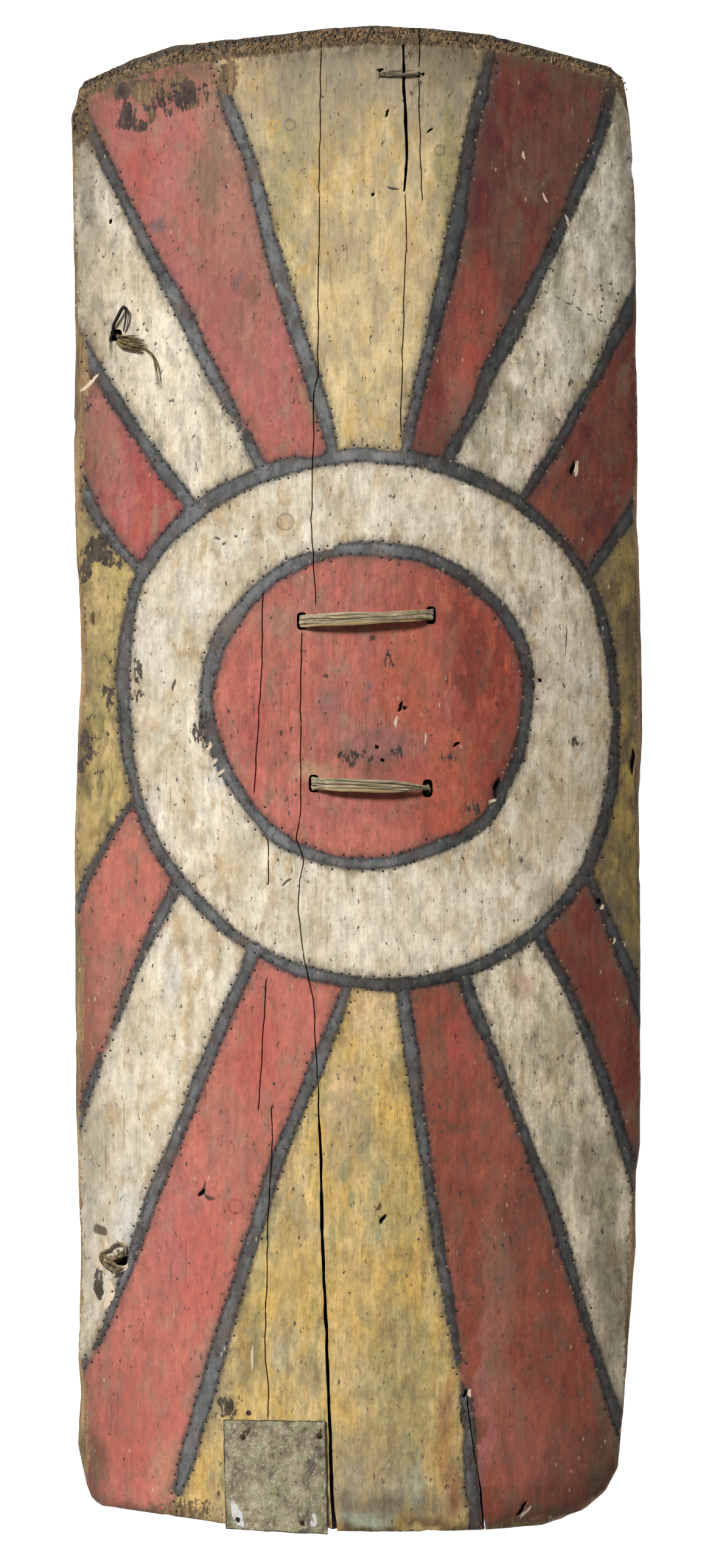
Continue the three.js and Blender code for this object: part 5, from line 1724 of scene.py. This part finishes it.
board()
cane_loop("upper_loop_strands", "cane_loop_upper", UPPER_LOOP, 5, 0.25, 21)
cane_loop("lower_loop_strands", "cane_loop_lower", LOWER_LOOP, 6, 0.8, 22, CANE_WIDTH + 1.5)
cane_loop("stitch_strands", "crack_stitch", STITCH, 3, 0.3, 23, STITCH_WIDTH, STITCH_THICKNESS + 0.6, VINE)
patch_sheet()
for number, place in enumerate(PATCH_NAILS, 1):
    nail(f"hammered_nail_{number}", f"patch_nail_{number}", place, PATCH_GAP + PATCH_THICKNESS, 60 + number)
nail("hammered_plank_nail", "board_nail", PLANK_NAIL, 0.1, 70)
upper_tie()
lower_tie()
frayed_top()

# Floor, light and camera
PHOTO_PIXELS = (1165, 2576)
PIXEL_MM = 0.566
PHOTO_MIDDLE = (-2.0, -4.0)
CAMERA_HEIGHT = 8.0
CAMERA_REACH = 80
FACE_HEIGHT = 0.04
SENSOR = 36.0
FLOOR_GLOW = 1.0
FLOOR_HALF = 20000.0
FLOOR_DROP = 0.4
# How far inside the shield's outline the floor turns dark, and that dark colour: painted shadow under the
# shield
SHADE_MARGIN = 9
SHADED_FLOOR = (0.14, 0.13, 0.12)
WHITE_FLOOR = (0.93, 0.93, 0.92)
KEY_WAY = Vector((-0.5, 0.6, 0.62))
KEY_STRENGTH = 4.23
KEY_ANGLE = 0.27
SKY = 0.15


def floor():
    """A pale floor that glows to white away from the shield's outline, and is painted dark under the shield
    as its shadow.
    """
    rim = outline()[::6]
    inner = rim + normals_of(rim, True) * SHADE_MARGIN
    loops = [np.array([(-1, -1), (1, -1), (1, 1), (-1, 1)], float) * FLOOR_HALF, rim, inner]
    points = np.concatenate(loops)
    verts, faces, origins = cut_plane(points, loop_edges(loops))
    mesh = bpy.data.meshes.new("floor")
    mesh.from_pydata([(v[0] * MM, v[1] * MM, -FLOOR_DROP * MM) for v in verts], [], faces)
    plane = bpy.data.objects.new("floor", mesh)
    bpy.context.scene.collection.objects.link(plane)
    shaded_from = len(points) - len(inner)
    put_values(plane, "glow", [float(min(origin, default=0) < shaded_from) for origin in origins])
    n = Nodes("pale_floor")
    n.finish(n.mix(n.value("glow"), SHADED_FLOOR, WHITE_FLOOR), 0.95, shine=0.1)
    n.shader.inputs["Emission Color"].default_value = (1, 1, 1, 1)
    n.put(n.shader.inputs["Emission Strength"], n.times(n.value("glow"), FLOOR_GLOW))
    mesh.materials.append(n.material)


def key_light():
    """A broad soft light from the upper left, far away, so that it falls evenly."""
    lamp = bpy.data.lights.new("key", "SUN")
    lamp.energy = KEY_STRENGTH
    lamp.angle = KEY_ANGLE
    light = bpy.data.objects.new("key", lamp)
    light.location = KEY_WAY.normalized() * 3
    light.rotation_euler = KEY_WAY.to_track_quat("Z", "Y").to_euler()
    bpy.context.scene.collection.objects.link(light)


def camera():
    """Straight above, with the photo's frame at the height of the face."""
    data = bpy.data.cameras.new("camera")
    data.sensor_width = SENSOR
    data.lens = SENSOR * (CAMERA_HEIGHT - FACE_HEIGHT) / (PHOTO_PIXELS[1] * PIXEL_MM * MM)
    data.clip_end = CAMERA_REACH
    eye = bpy.data.objects.new("camera", data)
    eye.location = (PHOTO_MIDDLE[0] * MM, PHOTO_MIDDLE[1] * MM, CAMERA_HEIGHT)
    bpy.context.scene.collection.objects.link(eye)
    bpy.context.scene.camera = eye


floor()
key_light()
world = bpy.data.worlds.new("studio")
world.use_nodes = True
world.node_tree.nodes["Background"].inputs["Color"].default_value = (1, 1, 1, 1)
world.node_tree.nodes["Background"].inputs["Strength"].default_value = SKY
bpy.context.scene.world = world
bpy.context.scene.view_settings.view_transform = "Standard"
camera()
